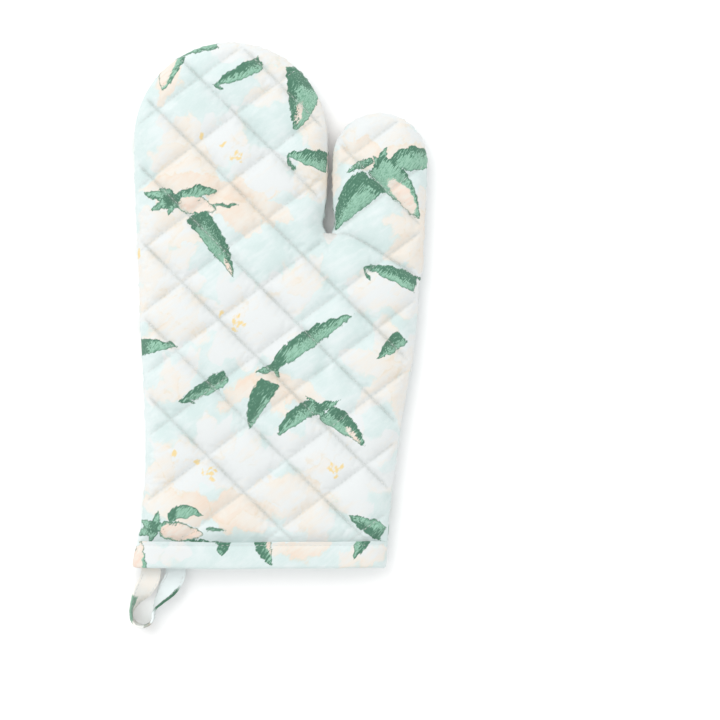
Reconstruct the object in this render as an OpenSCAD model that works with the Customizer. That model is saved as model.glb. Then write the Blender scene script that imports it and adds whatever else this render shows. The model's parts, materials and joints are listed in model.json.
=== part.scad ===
// Quilted oven mitt, lying palm side up. Two quilted panels, each of printed cotton, wadding and lining, are
// sewn round their edge into a pocket for the hand. A strip binds the mouth and a tape loop hangs from it.
// Every layer is cut at the knuckle line, where fingers and thumb fold, so each fold has layers of its own.
// The design is drawn on the mitt's own axes: X = 0 on the middle of the fingers, Y = 0 on the cuff's edge.

/* [Hand] */
// Length from the cuff's edge to the fingertips
mitt_length = 332; // [300:1:390]
// Width across the fingers
hand_width = 122; // [102:1:148]
// Height above the cuff's edge at which the little finger's side is nipped in most
waist_height = 95; // [80:1:120]
// How far the little finger's side is nipped in there
waist_nip = 7; // [0:0.5:12]
// How far the same side is nipped in beside the crotch
knuckle_nip = 3; // [0:0.5:8]
// Depth of the rounded fingertip end
tip_depth = 61; // [50:1:75]

/* [Thumb] */
// Height of the crotch above the cuff's edge
crotch_height = 208; // [174:1:214]
// Width across the thumb
thumb_width = 60; // [50:1:72]
// Length of the thumb above the crotch
thumb_length = 78; // [66:1:94]
// Depth of the rounded end of the thumb
thumb_tip_depth = 30; // [24:1:34]
// Gap between fingers and thumb where it is narrowest
thumb_gap = 2.6; // [2:0.2:8]
// Width of the gap just above the crotch
notch_width = 9; // [8:0.5:14]

/* [Cuff] */
// Width across the mouth
cuff_width = 160; // [134:1:192]
// How far the mouth flares past the fingers on the little finger's side
cuff_flare = 1.2; // [0:0.2:5]
// Height of the binding
binding_height = 17; // [12:1:24]
// Thickness of the folded binding strip
binding_t = 0.9; // [0.6:0.1:1.4]

/* [Loft] */
// Height of the side seam above the surface that the mitt lies on
seam_height = 9; // [7.5:0.5:12]
// Height of the front above the side seam
front_rise = 12; // [10:0.5:16]

/* [Cloth] */
// Thickness of the printed cotton
outer_t = 0.8; // [0.6:0.1:1.2]
// Thickness of the wadding
wadding_t = 3.8; // [2.5:0.1:4.6]
// Thickness of the lining
lining_t = 0.6; // [0.4:0.1:0.8]
// Distance between quilting lines
quilt_pitch = 33; // [24:1:45]
// Thickness of the quilting thread
thread_t = 0.4; // [0.3:0.1:0.6]
// Width of the overlocked seam allowance
allowance_w = 6; // [4:0.5:8]

/* [Hanging loop] */
// Width of the tape
tape_w = 12.5; // [10:0.5:15]
// Thickness of the folded tape
tape_t = 1.4; // [1:0.1:2]
// How far the loop reaches past the cuff's edge
loop_drop = 38; // [34:1:60]
// Gap between the tape's two ends
tape_gap = 3; // [1:0.5:6]
// Radius of the loop's turn
turn_r = 7; // [5:0.5:9]
// How far the loop leans to the little finger's side
loop_lean = 13.4; // [0:0.2:14]
// How far the tape's ends reach into the mouth
tab_length = 14; // [8:1:16]

/* [Folds] */
// Height of the knuckle line above the crotch
fold_above_crotch = 16; // [14:1:20]
// Height of the fold's axis above the surface
fold_axis_height = 12; // [10:0.5:14]
// Largest fold of fingers or thumb
fold_limit = 70; // [30:5:80]
// Gap between pieces that move against each other
move_gap = 0.4; // [0.3:0.1:1]

/* [Hidden] */

// Clearance between layers that lie on each other
ply_gap = 0.04;
// Height of the quilting threads above the cloth, which bulges a little between its rows of points
thread_gap = 0.65;
// The plies are pressed to this share of their thickness where they meet in the side seam
side_press = 0.6;
// Exponents of the rounded profiles across the front and the back, and of the plan of a rounded end
front_round = 2.6;
back_round = 3;
plan_round = 2.2;
end_round = 3;
// The back's profile is stretched by this and cut off flat where it rests
back_flatten = 1.25;
// Shares of a quarter turn at which a rounded end has its rows
end_rows = [0, 0.25, 0.46, 0.64, 0.78, 0.89, 0.955, 0.985];
// Intervals across the fingers and across the thumb
finger_cols = 12;
thumb_cols = 8;
// Length over which the surface sinks to the crotch
web_depth = 30;
// Length over which the gap above the crotch narrows
notch_run = 32;
notch_floor = 7;

panel_t = outer_t + wadding_t + lining_t;
half_hand = hand_width / 2;
gap_x = half_hand + thumb_gap / 2;
thumb_x = gap_x + thumb_gap / 2 + thumb_width / 2;
thumb_right = thumb_x + thumb_width / 2;
cuff_left = -half_hand - cuff_flare;
cuff_right = cuff_left + cuff_width;
fold_y = crotch_height + fold_above_crotch;
tip_start = mitt_length - tip_depth;
thumb_top = crotch_height + thumb_length;
thumb_tip_start = thumb_top - thumb_tip_depth;
fold_slope = tan(fold_limit / 2 + 1.5);

// The loop: its two ends lie on the back, side by side in the mouth, and it stands on edge where it turns
mouth_o = panel_t + ply_gap + binding_t;
tab_lift = 0.42;
loop_left_x = cuff_left + side_press * mouth_o + 1.7 + tape_w / 2;
loop_right_x = loop_left_x + tape_w + tape_gap;
loop_z = mouth_o + tab_lift + tape_t / 2;
loop_axis_y = -binding_t - move_gap - tape_t / 2;
loop_root_y = loop_axis_y + 0.3;
turn_x = (loop_left_x + loop_right_x) / 2 - loop_lean;
turn_y = -loop_drop + turn_r + tape_t / 2;
turn_z = tape_w / 2 + 0.02;

// The part's origin is the middle of the underside of its bounding box
loop_left = turn_x - turn_r - tape_t / 2;
origin_x = (min(loop_left, cuff_left - binding_t) + thumb_right) / 2;
origin_y = (mitt_length - loop_drop) / 2;

// ---- plain helpers
function clamp01(t) = max(0, min(1, t));
function mix(a, b, t) = a + (b - a) * t;
function ease(t) = 0.5 - 0.5 * cos(180 * clamp01(t));
function arch(u, n) = pow(max(0, 1 - pow(min(1, abs(u)), n)), 1 / n);
function spread(i, n) = 0.5 - 0.5 * cos(180 * i / n);
function through(list, y, k = 0) =
    k >= len(list) - 2 || y < list[k + 1][0]
    ? mix(list[k][1], list[k + 1][1], ease((y - list[k][0]) / (list[k + 1][0] - list[k][0])))
    : through(list, y, k + 1);

// ---- the outline, as edges at a height y; o is the distance inside the cut edge
side_nips = [[0, -cuff_flare], [waist_height, waist_nip], [crotch_height - 8, knuckle_nip], [tip_start, 0]];
function inset(o) = side_press * o;
function left_edge(y, o) = -half_hand + through(side_nips, y) + inset(o);
function right_edge(y, o) = mix(cuff_right, thumb_right, ease(y / (fold_y + 1))) - inset(o);
function half_notch(y) =
    let (up = y - crotch_height)
    up < notch_floor
    ? notch_width / 2 * sqrt(max(0, 1 - pow(1 - max(0, up) / notch_floor, 2)))
    : mix(notch_width / 2, thumb_gap / 2, ease((up - notch_floor) / notch_run));
function web_x(y) =
    mix(left_edge(y, 0), right_edge(y, 0),
        (gap_x - left_edge(crotch_height, 0)) / (right_edge(crotch_height, 0) - left_edge(crotch_height, 0)));
function finger_right(y, o) = y > crotch_height - inset(o) ? gap_x - half_notch(y) - inset(o) : web_x(y);
function thumb_left(y, o) = y > crotch_height - inset(o) ? gap_x + half_notch(y) + inset(o) : web_x(y);

// Rounded ends: each row has its left and right edge, its height y and its share of the full rise
function end_row(t, x, half_w, start, depth, o) =
    let (s = sin(90 * t), w = (half_w - inset(o)) * arch(s, plan_round))
    [x - w, x + w, start + (depth - inset(o)) * s, t > 0.98 ? 0 : arch(s, end_round)];
function finger_rows(o) = concat(
    [for (y = [fold_y, (fold_y + tip_start) / 2]) [left_edge(y, o), finger_right(y, o), y, 1]],
    [for (t = end_rows) end_row(t, 0, half_hand, tip_start, tip_depth, o)]);
function thumb_rows(o) = concat(
    [for (y = [fold_y, (fold_y + thumb_tip_start) / 2]) [thumb_left(y, o), right_edge(y, o), y, 1]],
    [for (t = end_rows) end_row(t, thumb_x, thumb_width / 2, thumb_tip_start, thumb_tip_depth, o)]);
palm_heights = [
    0, binding_height, (binding_height + waist_height) / 2, waist_height, mix(waist_height, crotch_height, 0.4),
    crotch_height - web_depth, crotch_height - 0.6 * web_depth, crotch_height - 0.3 * web_depth,
    crotch_height, crotch_height + 0.25 * fold_above_crotch, fold_y
];
crotch_row = 8;

// ---- heights: side is 1 on the front and -1 on the back, u runs from -1 to 1 across a span
function across(u, side) = side > 0 ? arch(u, front_round) : min(1, back_flatten * arch(u, back_round));
function level(side, o, share) = seam_height + side * ((side > 0 ? front_rise : seam_height) - o) * share;
function span_share(x, a, b, side) = across(2 * (x - a) / max(0.01, b - a) - 1, side);
function palm_share(x, y, o, side) =
    let (
        a = left_edge(y, o), b = right_edge(y, o), on_thumb = x > (finger_right(y, o) + thumb_left(y, o)) / 2,
        apart = on_thumb ? span_share(x, thumb_left(y, o), b, side) : span_share(x, a, finger_right(y, o), side)
    )
    mix(apart, span_share(x, a, b, side), ease((crotch_height - inset(o) - y) / web_depth));

// A fold needs room above its axis: the end faces lean back from the knuckle line there
function lean(z) = move_gap / 2 + max(0, z - fold_axis_height) * fold_slope;

// ---- a layer as one closed surface: rows of points on its outer skin (0) and its inner skin (1)
function palm_skin(side, o) = [
    for (j = [0:len(palm_heights) - 1])
    let (y = palm_heights[j] - (j == crotch_row ? inset(o) : 0), last = j == len(palm_heights) - 1)
    [for (i = [0:finger_cols + thumb_cols + 1])
        if (j > crotch_row || i != finger_cols + 1)
        let (
            x = i <= finger_cols
            ? mix(left_edge(y, o), finger_right(y, o), spread(i, finger_cols))
            : mix(thumb_left(y, o), right_edge(y, o), spread(i - finger_cols - 1, thumb_cols)),
            z = level(side, o, palm_share(x, y, o, side))
        )
        [x, last ? y - lean(z) : y, z]]
];
function end_skin(rows, cols, side, o) = [
    for (j = [0:len(rows) - 1])
    [for (i = [0:cols])
        let (r = rows[j], z = level(side, o, r[3] * across(2 * spread(i, cols) - 1, side)))
        [mix(r[0], r[1], spread(i, cols)), j == 0 ? r[2] + lean(z) : r[2], z]]
];
function flat(lists) = [for (l = lists) for (p = l) p];
function turned(faces, side) = [for (f = faces) side > 0 ? [f[1], f[2], f[0]] : [f[2], f[1], f[0]]];
function wall(a, b, c, d) = [[a, b, c], [a, c, d]];

// skins are grids of rows; split is the column after which the rows part, from row split_row on
module layer(outer_skin, inner_skin, side, cols, split = -1, split_row = 0) {
    rows = len(outer_skin);
    skin_size = len(flat(outer_skin));
    width = split < 0 ? cols : cols + 1;
    function start(j) = j <= split_row || split < 0 ? j * (cols + 1)
        : (split_row + 1) * (cols + 1) + (j - split_row - 1) * (cols + 2);
    function id(s, j, i) = s * skin_size + start(j) + (split >= 0 && j <= split_row && i > split ? i - 1 : i);
    cells = [for (i = [0:width - 1]) if (i != split) i];
    skin_faces = [for (s = [0, 1]) for (j = [0:rows - 2]) for (i = cells)
        for (f = wall(id(s, j, i), id(s, j + 1, i), id(s, j + 1, i + 1), id(s, j, i + 1)))
            s == 0 ? f : [f[2], f[1], f[0]]];
    end_faces = [for (i = cells) for (f = concat(
        wall(id(0, 0, i), id(0, 0, i + 1), id(1, 0, i + 1), id(1, 0, i)),
        wall(id(0, rows - 1, i + 1), id(0, rows - 1, i), id(1, rows - 1, i), id(1, rows - 1, i + 1)))) f];
    function edge_faces(i, from, faces_left) = [for (j = [from:rows - 2]) for (f = faces_left
        ? wall(id(0, j + 1, i), id(0, j, i), id(1, j, i), id(1, j + 1, i))
        : wall(id(0, j, i), id(0, j + 1, i), id(1, j + 1, i), id(1, j, i))) f];
    gap_faces = split < 0 ? [] : concat(edge_faces(split, split_row, false), edge_faces(split + 1, split_row, true));
    polyhedron(
        concat(flat(outer_skin), flat(inner_skin)),
        turned(concat(skin_faces, end_faces, edge_faces(0, 0, true), edge_faces(width, 0, false), gap_faces), side),
        convexity = 6);
}
module palm_layer(side, from, to) {
    layer(palm_skin(side, from), palm_skin(side, to), side, finger_cols + thumb_cols, finger_cols, crotch_row);
}
module fingers_layer(side, from, to) {
    layer(end_skin(finger_rows(from), finger_cols, side, from), end_skin(finger_rows(to), finger_cols, side, to),
        side, finger_cols);
}
module thumb_layer(side, from, to) {
    layer(end_skin(thumb_rows(from), thumb_cols, side, from), end_skin(thumb_rows(to), thumb_cols, side, to),
        side, thumb_cols);
}
// Where each ply lies, as distances inside the outer surface
outer_ply = [0, outer_t];
wadding_ply = [outer_t + ply_gap, outer_t + wadding_t];
lining_ply = [outer_t + wadding_t + ply_gap, panel_t];

// ---- a bar of rectangular section along a list of stations, each of four corners
module bar(stations) {
    n = len(stations);
    polyhedron(flat(stations), concat(
        [[0, 1, 2], [0, 2, 3]],
        [for (k = [0:n - 2]) for (c = [0:3])
            for (f = wall(4 * k + c, 4 * k + 4 + c, 4 * k + 4 + (c + 1) % 4, 4 * k + (c + 1) % 4)) f],
        [[4 * n - 1, 4 * n - 2, 4 * n - 3], [4 * n - 1, 4 * n - 3, 4 * n - 4]]), convexity = 4);
}

// ---- overlocked seam allowance: a flat strip inside the seam, between two distances from the cut edge
allowance_from = panel_t + 1.6;
allowance_to = allowance_from + allowance_w / side_press;
allowance_half_t = 0.7;
function strip_station(outer_p, inner_p) = [
    [outer_p[0], outer_p[1], seam_height - allowance_half_t], [inner_p[0], inner_p[1], seam_height - allowance_half_t],
    [inner_p[0], inner_p[1], seam_height + allowance_half_t], [outer_p[0], outer_p[1], seam_height + allowance_half_t]
];
// A strip's run leaves out the narrowest rows of a rounded end, where its two sides would meet
function end_strip(outer_rows, inner_rows) = let (last = len(outer_rows) - 4) concat(
    [for (j = [0:last]) strip_station([outer_rows[j][1], start_y(outer_rows, j)], [inner_rows[j][1], start_y(inner_rows, j)])],
    [for (j = [last:-1:0]) strip_station([outer_rows[j][0], start_y(outer_rows, j)], [inner_rows[j][0], start_y(inner_rows, j)])]);
function start_y(rows, j) = rows[j][2] + (j == 0 ? move_gap / 2 : 0);
function side_heights() = [for (y = palm_heights) if (y >= binding_height && y < fold_y) y];
module palm_overlock() {
    ys = concat([binding_height + 1], [for (y = side_heights()) if (y > binding_height + 1) y], [fold_y - move_gap / 2]);
    bar([for (k = [len(ys) - 1:-1:0]) strip_station([left_edge(ys[k], allowance_from), ys[k]], [left_edge(ys[k], allowance_to), ys[k]])]);
    bar([for (y = ys) strip_station([right_edge(y, allowance_from), y], [right_edge(y, allowance_to), y])]);
}

// ---- quilting: diagonal lines both ways; lean_way is 1 for lines that fall to the right and -1 for the others
quilt_step = quilt_pitch * sqrt(2);
quilt_phase = [7.4, -6.4];
thread_w = 0.6;
quilt_margin = 7;
function zone_share(zone, x, y, o, side) =
    zone == "palm" ? palm_share(x, y, o, side)
    : let (rows = zone == "fingers" ? finger_rows(o) : thumb_rows(o), r = row_at(rows, y))
        r[3] * span_share(x, r[0], r[1], side);
function row_at(rows, y, k = 0) =
    k >= len(rows) - 2 || y < rows[k + 1][2]
    ? let (t = (y - rows[k][2]) / (rows[k + 1][2] - rows[k][2])) [for (c = [0:3]) mix(rows[k][c], rows[k + 1][c], t)]
    : row_at(rows, y, k + 1);
function in_zone(zone, x, y, m) =
    zone == "palm"
    ? y > binding_height + 2 && y < crotch_height - inset(m) - 3 && x > left_edge(y, m) && x < right_edge(y, m)
    : let (rows = zone == "fingers" ? finger_rows(m) : thumb_rows(m), r = row_at(rows, y))
        y > fold_y + lean(seam_height + front_rise) + 1 && y < rows[len(rows) - 1][2] - 2 && x > r[0] && x < r[1];
function thread_station(zone, x, y, o, side, way) =
    let (
        z = level(side, o, zone_share(zone, x, y, o, side)), out = side * (o > 0 ? -1 : 1),
        near_z = z + out * thread_gap, far_z = near_z + out * thread_t, w = thread_w / 2 / sqrt(2)
    )
    out > 0
    ? [[x - w, y - way * w, near_z], [x + w, y + way * w, near_z], [x + w, y + way * w, far_z], [x - w, y - way * w, far_z]]
    : [[x - w, y - way * w, far_z], [x + w, y + way * w, far_z], [x + w, y + way * w, near_z], [x - w, y - way * w, near_z]];
// o is 0 for thread that shows on the outside, and the panel's thickness for thread on the lining
module quilting(zone, side, o) {
    for (way = [1, -1]) for (k = [-4:12]) {
        c = quilt_phase[way > 0 ? 0 : 1] + way * quilt_step * k;
        inside = [for (y = [0:2:mitt_length]) if (in_zone(zone, c - way * y, y, quilt_margin + o)) y];
        if (len(inside) > 5) {
            low = inside[0];
            high = inside[len(inside) - 1];
            cuts = max(3, round((high - low) / 8));
            bar([for (s = [0:cuts]) let (y = mix(high, low, s / cuts)) thread_station(zone, c - way * y, y, o, side, way)]);
        }
    }
}

// ---- the cuff: a ring of places round the mouth, shared by the binding and its stitching
ring_cols = finger_cols + thumb_cols;
function ring_x(i, y, o) =
    i <= finger_cols ? mix(left_edge(y, o), web_x(y), spread(i, finger_cols))
    : mix(web_x(y), right_edge(y, o), spread(i - finger_cols, thumb_cols));
function ring_point(k, y, o) =
    let (side = k <= ring_cols ? 1 : -1, i = k <= ring_cols ? k : 2 * ring_cols - k, x = ring_x(i, max(0, y), o))
    [x, y, level(side, o, palm_share(x, max(0, y), o, side))];
module ring(profile) {
    count = 2 * ring_cols;
    n = len(profile);
    polyhedron([for (k = [0:count - 1]) for (p = profile) ring_point(k, p[1], p[0])],
        [for (k = [0:count - 1]) for (c = [0:n - 1]) let (m = (k + 1) % count, d = (c + 1) % n)
            for (f = wall(k * n + c, m * n + c, m * n + d, k * n + d)) f], convexity = 8);
}

// ---- the hanging loop: stations of tape, each a place, a heading and how far the tape is turned on edge
function arc_station(a) = [[turn_x + turn_r * cos(a), turn_y + turn_r * sin(a), turn_z], a - 90, 90];
function tape_station(root_x, along, on_left) =
    let (
        t = ease(along), end_x = turn_x + (on_left ? -turn_r : turn_r), way = on_left ? -1 : 1,
        run = [(end_x - root_x) * sin(180 * along) * PI / 2, turn_y - loop_root_y] * way
    )
    [[mix(root_x, end_x, t), mix(loop_root_y, turn_y, along), mix(loop_z, turn_z, t)], atan2(run[1], run[0]),
        90 * ease((along - 0.1) / 0.9)];
tape_stations = concat(
    [for (s = [0:7]) tape_station(loop_right_x, s / 8, false)],
    [for (a = [0:-22.5:-180]) arc_station(a)],
    [for (s = [7:-1:0]) tape_station(loop_left_x, s / 8, true)]);
function tape_corners(s) =
    let (
        h = s[1], e = s[2], flat_dir = [-sin(h), cos(h), 0],
        w = flat_dir * cos(e) * tape_w / 2 + [0, 0, sin(e) * tape_w / 2],
        n = flat_dir * -sin(e) * tape_t / 2 + [0, 0, cos(e) * tape_t / 2]
    )
    [s[0] - w - n, s[0] + w - n, s[0] + w + n, s[0] - w + n];

// A strip across the tape that lies on the binding's inner face at the back, from height low to height high
module on_back(x, w, ys, low, high) {
    places = [for (k = [0:6]) let (px = x + w * (k / 6 - 0.5))
        [px, level(-1, mouth_o, palm_share(px, 0, mouth_o, -1))]];
    bar([for (p = places) [
        [p[0], ys[0], p[1] + low], [p[0], ys[1], p[1] + low], [p[0], ys[1], p[1] + high], [p[0], ys[0], p[1] + high]
    ]]);
}

// ---- colours of the cloths
aqua = [0.86, 0.93, 0.92];
cream = [0.95, 0.92, 0.87];
white_cotton = [0.93, 0.93, 0.91];
fluff = [0.97, 0.97, 0.95];
thread_white = [0.98, 0.98, 0.97];

// ---- one module for each sub-part
module palm_front_outer() { color(aqua) palm_layer(1, outer_ply[0], outer_ply[1]); }
module palm_front_wadding() { color(fluff) palm_layer(1, wadding_ply[0], wadding_ply[1]); }
module palm_front_lining() { color(white_cotton) palm_layer(1, lining_ply[0], lining_ply[1]); }
module palm_back_outer() { color(aqua) palm_layer(-1, outer_ply[0], outer_ply[1]); }
module palm_back_wadding() { color(fluff) palm_layer(-1, wadding_ply[0], wadding_ply[1]); }
module palm_back_lining() { color(white_cotton) palm_layer(-1, lining_ply[0], lining_ply[1]); }
module fingers_front_outer() { color(aqua) fingers_layer(1, outer_ply[0], outer_ply[1]); }
module fingers_front_wadding() { color(fluff) fingers_layer(1, wadding_ply[0], wadding_ply[1]); }
module fingers_front_lining() { color(white_cotton) fingers_layer(1, lining_ply[0], lining_ply[1]); }
module fingers_back_outer() { color(aqua) fingers_layer(-1, outer_ply[0], outer_ply[1]); }
module fingers_back_wadding() { color(fluff) fingers_layer(-1, wadding_ply[0], wadding_ply[1]); }
module fingers_back_lining() { color(white_cotton) fingers_layer(-1, lining_ply[0], lining_ply[1]); }
module thumb_front_outer() { color(aqua) thumb_layer(1, outer_ply[0], outer_ply[1]); }
module thumb_front_wadding() { color(fluff) thumb_layer(1, wadding_ply[0], wadding_ply[1]); }
module thumb_front_lining() { color(white_cotton) thumb_layer(1, lining_ply[0], lining_ply[1]); }
module thumb_back_outer() { color(aqua) thumb_layer(-1, outer_ply[0], outer_ply[1]); }
module thumb_back_wadding() { color(fluff) thumb_layer(-1, wadding_ply[0], wadding_ply[1]); }
module thumb_back_lining() { color(white_cotton) thumb_layer(-1, lining_ply[0], lining_ply[1]); }
module palm_seam_overlock() { color(thread_white) palm_overlock(); }
module fingers_seam_overlock() { color(thread_white) bar(end_strip(finger_rows(allowance_from), finger_rows(allowance_to))); }
module thumb_seam_overlock() { color(thread_white) bar(end_strip(thumb_rows(allowance_from), thumb_rows(allowance_to))); }
module palm_front_quilting() { color(thread_white) quilting("palm", 1, 0); }
module fingers_front_quilting() { color(thread_white) quilting("fingers", 1, 0); }
module thumb_front_quilting() { color(thread_white) quilting("thumb", 1, 0); }
module palm_back_quilting() { color(thread_white) quilting("palm", -1, panel_t); }
module fingers_back_quilting() { color(thread_white) quilting("fingers", -1, panel_t); }
module thumb_back_quilting() { color(thread_white) quilting("thumb", -1, panel_t); }
module cuff_binding() {
    inside = panel_t + ply_gap;
    color(aqua) ring([
        [-binding_t, binding_height], [-binding_t, -binding_t], [inside + binding_t, -binding_t],
        [inside + binding_t, binding_height], [inside, binding_height], [inside, -ply_gap],
        [-ply_gap, -ply_gap], [-ply_gap, binding_height]
    ]);
}
module binding_topstitch() {
    skin = -binding_t - 0.12;
    low = binding_height - 2.2;
    color(thread_white) ring([
        [skin - thread_t, low + thread_w], [skin - thread_t, low], [skin, low], [skin, low + thread_w]
    ]);
}
module hanging_loop() { color(cream) bar([for (s = tape_stations) tape_corners(s)]); }
module loop_end_tabs() {
    color(cream) for (x = [loop_left_x, loop_right_x])
        on_back(x, tape_w, [-binding_t, tab_length], tab_lift, tab_lift + tape_t);
}
module loop_bartack() {
    color(thread_white) for (x = [loop_left_x, loop_right_x]) for (y = [tab_length - 6, tab_length - 3])
        on_back(x, 0.7 * tape_w, [y, y + 1.2], tab_lift + 0.05 + tape_t, tab_lift + 0.05 + tape_t + thread_t);
}

translate([-origin_x, -origin_y, 0]) {
    palm_front_outer();
    palm_front_wadding();
    palm_front_lining();
    palm_back_outer();
    palm_back_wadding();
    palm_back_lining();
    fingers_front_outer();
    fingers_front_wadding();
    fingers_front_lining();
    fingers_back_outer();
    fingers_back_wadding();
    fingers_back_lining();
    thumb_front_outer();
    thumb_front_wadding();
    thumb_front_lining();
    thumb_back_outer();
    thumb_back_wadding();
    thumb_back_lining();
    palm_seam_overlock();
    fingers_seam_overlock();
    thumb_seam_overlock();
    palm_front_quilting();
    fingers_front_quilting();
    thumb_front_quilting();
    palm_back_quilting();
    fingers_back_quilting();
    thumb_back_quilting();
    cuff_binding();
    binding_topstitch();
    hanging_loop();
    loop_end_tabs();
    loop_bartack();
}
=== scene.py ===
"""A quilted oven mitt with a lily print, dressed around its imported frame.

The mitt lies palm side up. Its panels are drawn on the mitt's own axes, in millimetres: X is 0 on the middle
of the fingers, Y is 0 on the cuff's edge, and Z is 0 on the surface below.
"""

import json
import logging
import math
from dataclasses import dataclass
from enum import Enum
from typing import Iterable, Sequence

import bmesh
import bpy
import numpy as np
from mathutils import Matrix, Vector
from mathutils.bvhtree import BVHTree
from mathutils.geometry import delaunay_2d_cdt
from mathutils.kdtree import KDTree

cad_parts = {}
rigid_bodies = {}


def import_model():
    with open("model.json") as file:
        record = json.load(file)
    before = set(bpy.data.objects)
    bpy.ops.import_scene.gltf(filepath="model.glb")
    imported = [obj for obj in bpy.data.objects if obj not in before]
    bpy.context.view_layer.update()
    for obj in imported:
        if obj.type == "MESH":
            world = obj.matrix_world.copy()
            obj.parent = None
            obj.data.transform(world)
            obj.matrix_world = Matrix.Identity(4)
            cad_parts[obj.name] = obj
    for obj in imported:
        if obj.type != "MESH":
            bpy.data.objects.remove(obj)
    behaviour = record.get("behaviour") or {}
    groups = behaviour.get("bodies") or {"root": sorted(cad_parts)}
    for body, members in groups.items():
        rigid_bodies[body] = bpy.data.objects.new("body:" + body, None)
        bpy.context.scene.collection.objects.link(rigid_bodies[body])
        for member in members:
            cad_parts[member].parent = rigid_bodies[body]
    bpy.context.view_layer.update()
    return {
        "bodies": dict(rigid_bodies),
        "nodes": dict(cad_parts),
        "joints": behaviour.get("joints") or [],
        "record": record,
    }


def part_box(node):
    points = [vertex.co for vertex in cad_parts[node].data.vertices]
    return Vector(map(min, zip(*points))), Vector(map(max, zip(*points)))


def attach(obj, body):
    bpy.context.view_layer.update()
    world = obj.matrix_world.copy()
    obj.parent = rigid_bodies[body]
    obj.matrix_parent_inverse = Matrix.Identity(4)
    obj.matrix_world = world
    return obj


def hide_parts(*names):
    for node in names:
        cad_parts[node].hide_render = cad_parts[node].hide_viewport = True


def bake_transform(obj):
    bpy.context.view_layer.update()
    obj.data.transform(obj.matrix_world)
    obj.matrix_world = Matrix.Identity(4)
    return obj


log = logging.getLogger("mitt")
MM = 0.001
# How much brighter than its own colour the lamps make a cloth
LAMP_LEVEL = 1.22
# Where the bend at the knuckles, and the one of the tape at the cuff, start and end along Y
BEND = (213.0, 235.0)
TAPE_BEND = (-0.5, -7.0)
Point = tuple[float, float]


class Face(Enum):
    """The side of the mitt that a panel is on."""

    FRONT = 1
    BACK = -1


class Part(Enum):
    """The two pieces that each ply is made in; each value names a body of the frame."""

    HAND = "fingers"
    THUMB = "thumb"


# ---------------------------------------------------------------- plain geometry


def smoothstep(values: np.ndarray, low: float, high: float) -> np.ndarray:
    """Rises smoothly from 0 at low to 1 at high."""
    t = np.clip((values - low) / (high - low), 0.0, 1.0)
    return t * t * (3.0 - 2.0 * t)


def arch(u: np.ndarray, power: float) -> np.ndarray:
    """A superellipse's height, from 1 in the middle (u = 0) to 0 at its edge (u = 1)."""
    return np.power(1.0 - np.power(np.clip(u, 0.0, 1.0), power), 1.0 / power)


def resampled(line: np.ndarray, step: float) -> np.ndarray:
    """Spaces the points of a line evenly.

    Args:
        line: The line's points, one to a row.
        step: The distance wanted between points.

    Returns:
        The new points, with the line's own ends.
    """
    run = np.concatenate([[0.0], np.cumsum(np.linalg.norm(np.diff(line, axis=0), axis=1))])
    count = max(2, int(round(run[-1] / step)) + 1)
    at = np.linspace(0.0, run[-1], count)
    return np.stack([np.interp(at, run, line[:, k]) for k in range(line.shape[1])], axis=1)


def curve_through(points: Sequence[Sequence[float]], step: float) -> np.ndarray:
    """Draws a smooth curve through points (Catmull-Rom) and spaces it evenly.

    Args:
        points: The points that the curve passes, in order.
        step: The distance between the points returned.

    Returns:
        Points along the curve.
    """
    p = np.array(points, float)
    ends = np.vstack([2 * p[0] - p[1], p, 2 * p[-1] - p[-2]])
    out = []
    for a, b, c, d in zip(ends, ends[1:], ends[2:], ends[3:]):
        for t in np.linspace(0.0, 1.0, 24, endpoint=False):
            out.append(0.5 * (2 * b + (c - a) * t + (2 * a - 5 * b + 4 * c - d) * t * t
                              + (3 * b - a - 3 * c + d) * t ** 3))
    return resampled(np.vstack([out, p[-1]]), step)


def wander(at: np.ndarray, size: float, amount: float) -> np.ndarray:
    """Moves points about a little, smoothly and always in the same way.

    Args:
        at: The points.
        size: The distance over which the movement changes.
        amount: How far points move.

    Returns:
        The moved points.
    """
    out = at.copy()
    for k in range(6):
        way = np.array([math.cos(2.4 * k + 0.3), math.sin(2.4 * k + 0.3)]) * (1.0 + 0.37 * k) / size
        swing = np.sin(at @ way * 2 * math.pi + 1.7 * k) / (1.0 + 0.3 * k)
        out += amount * 0.5 * swing[:, None] * np.array([math.cos(1.1 * k + 1), math.sin(1.1 * k + 1)])
    return out


def nearest_on(lines: np.ndarray | list[np.ndarray], points: np.ndarray) -> tuple[np.ndarray, np.ndarray]:
    """Measures how far points lie from a line, or from the nearest of several.

    Args:
        lines: The line's points in plan, or a list of such lines.
        points: The points to measure, in plan.

    Returns:
        Each point's distance, and its nearest place on a line.
    """
    several = lines if isinstance(lines, list) else [lines]
    here = np.vstack(several)
    ahead = np.vstack([np.vstack([line[1:], line[-1:]]) for line in several])
    behind = np.vstack([np.vstack([line[:1], line[:-1]]) for line in several])
    tree = KDTree(len(here))
    for k, spot in enumerate(here):
        tree.insert((spot[0], spot[1], 0.0), k)
    tree.balance()
    near = np.array([tree.find((x, y, 0.0))[1] for x, y in points])
    best = np.full(len(points), np.inf)
    place = np.zeros((len(points), 2))
    for other in (ahead, behind):
        start, span = here[near], other[near] - here[near]
        share = ((points - start) * span).sum(1) / np.maximum((span ** 2).sum(1), 1e-12)
        spot = start + np.clip(share, 0.0, 1.0)[:, None] * span
        gap = np.linalg.norm(points - spot, axis=1)
        closer = gap < best
        best[closer] = gap[closer]
        place[closer] = spot[closer]
    return best, place


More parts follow.
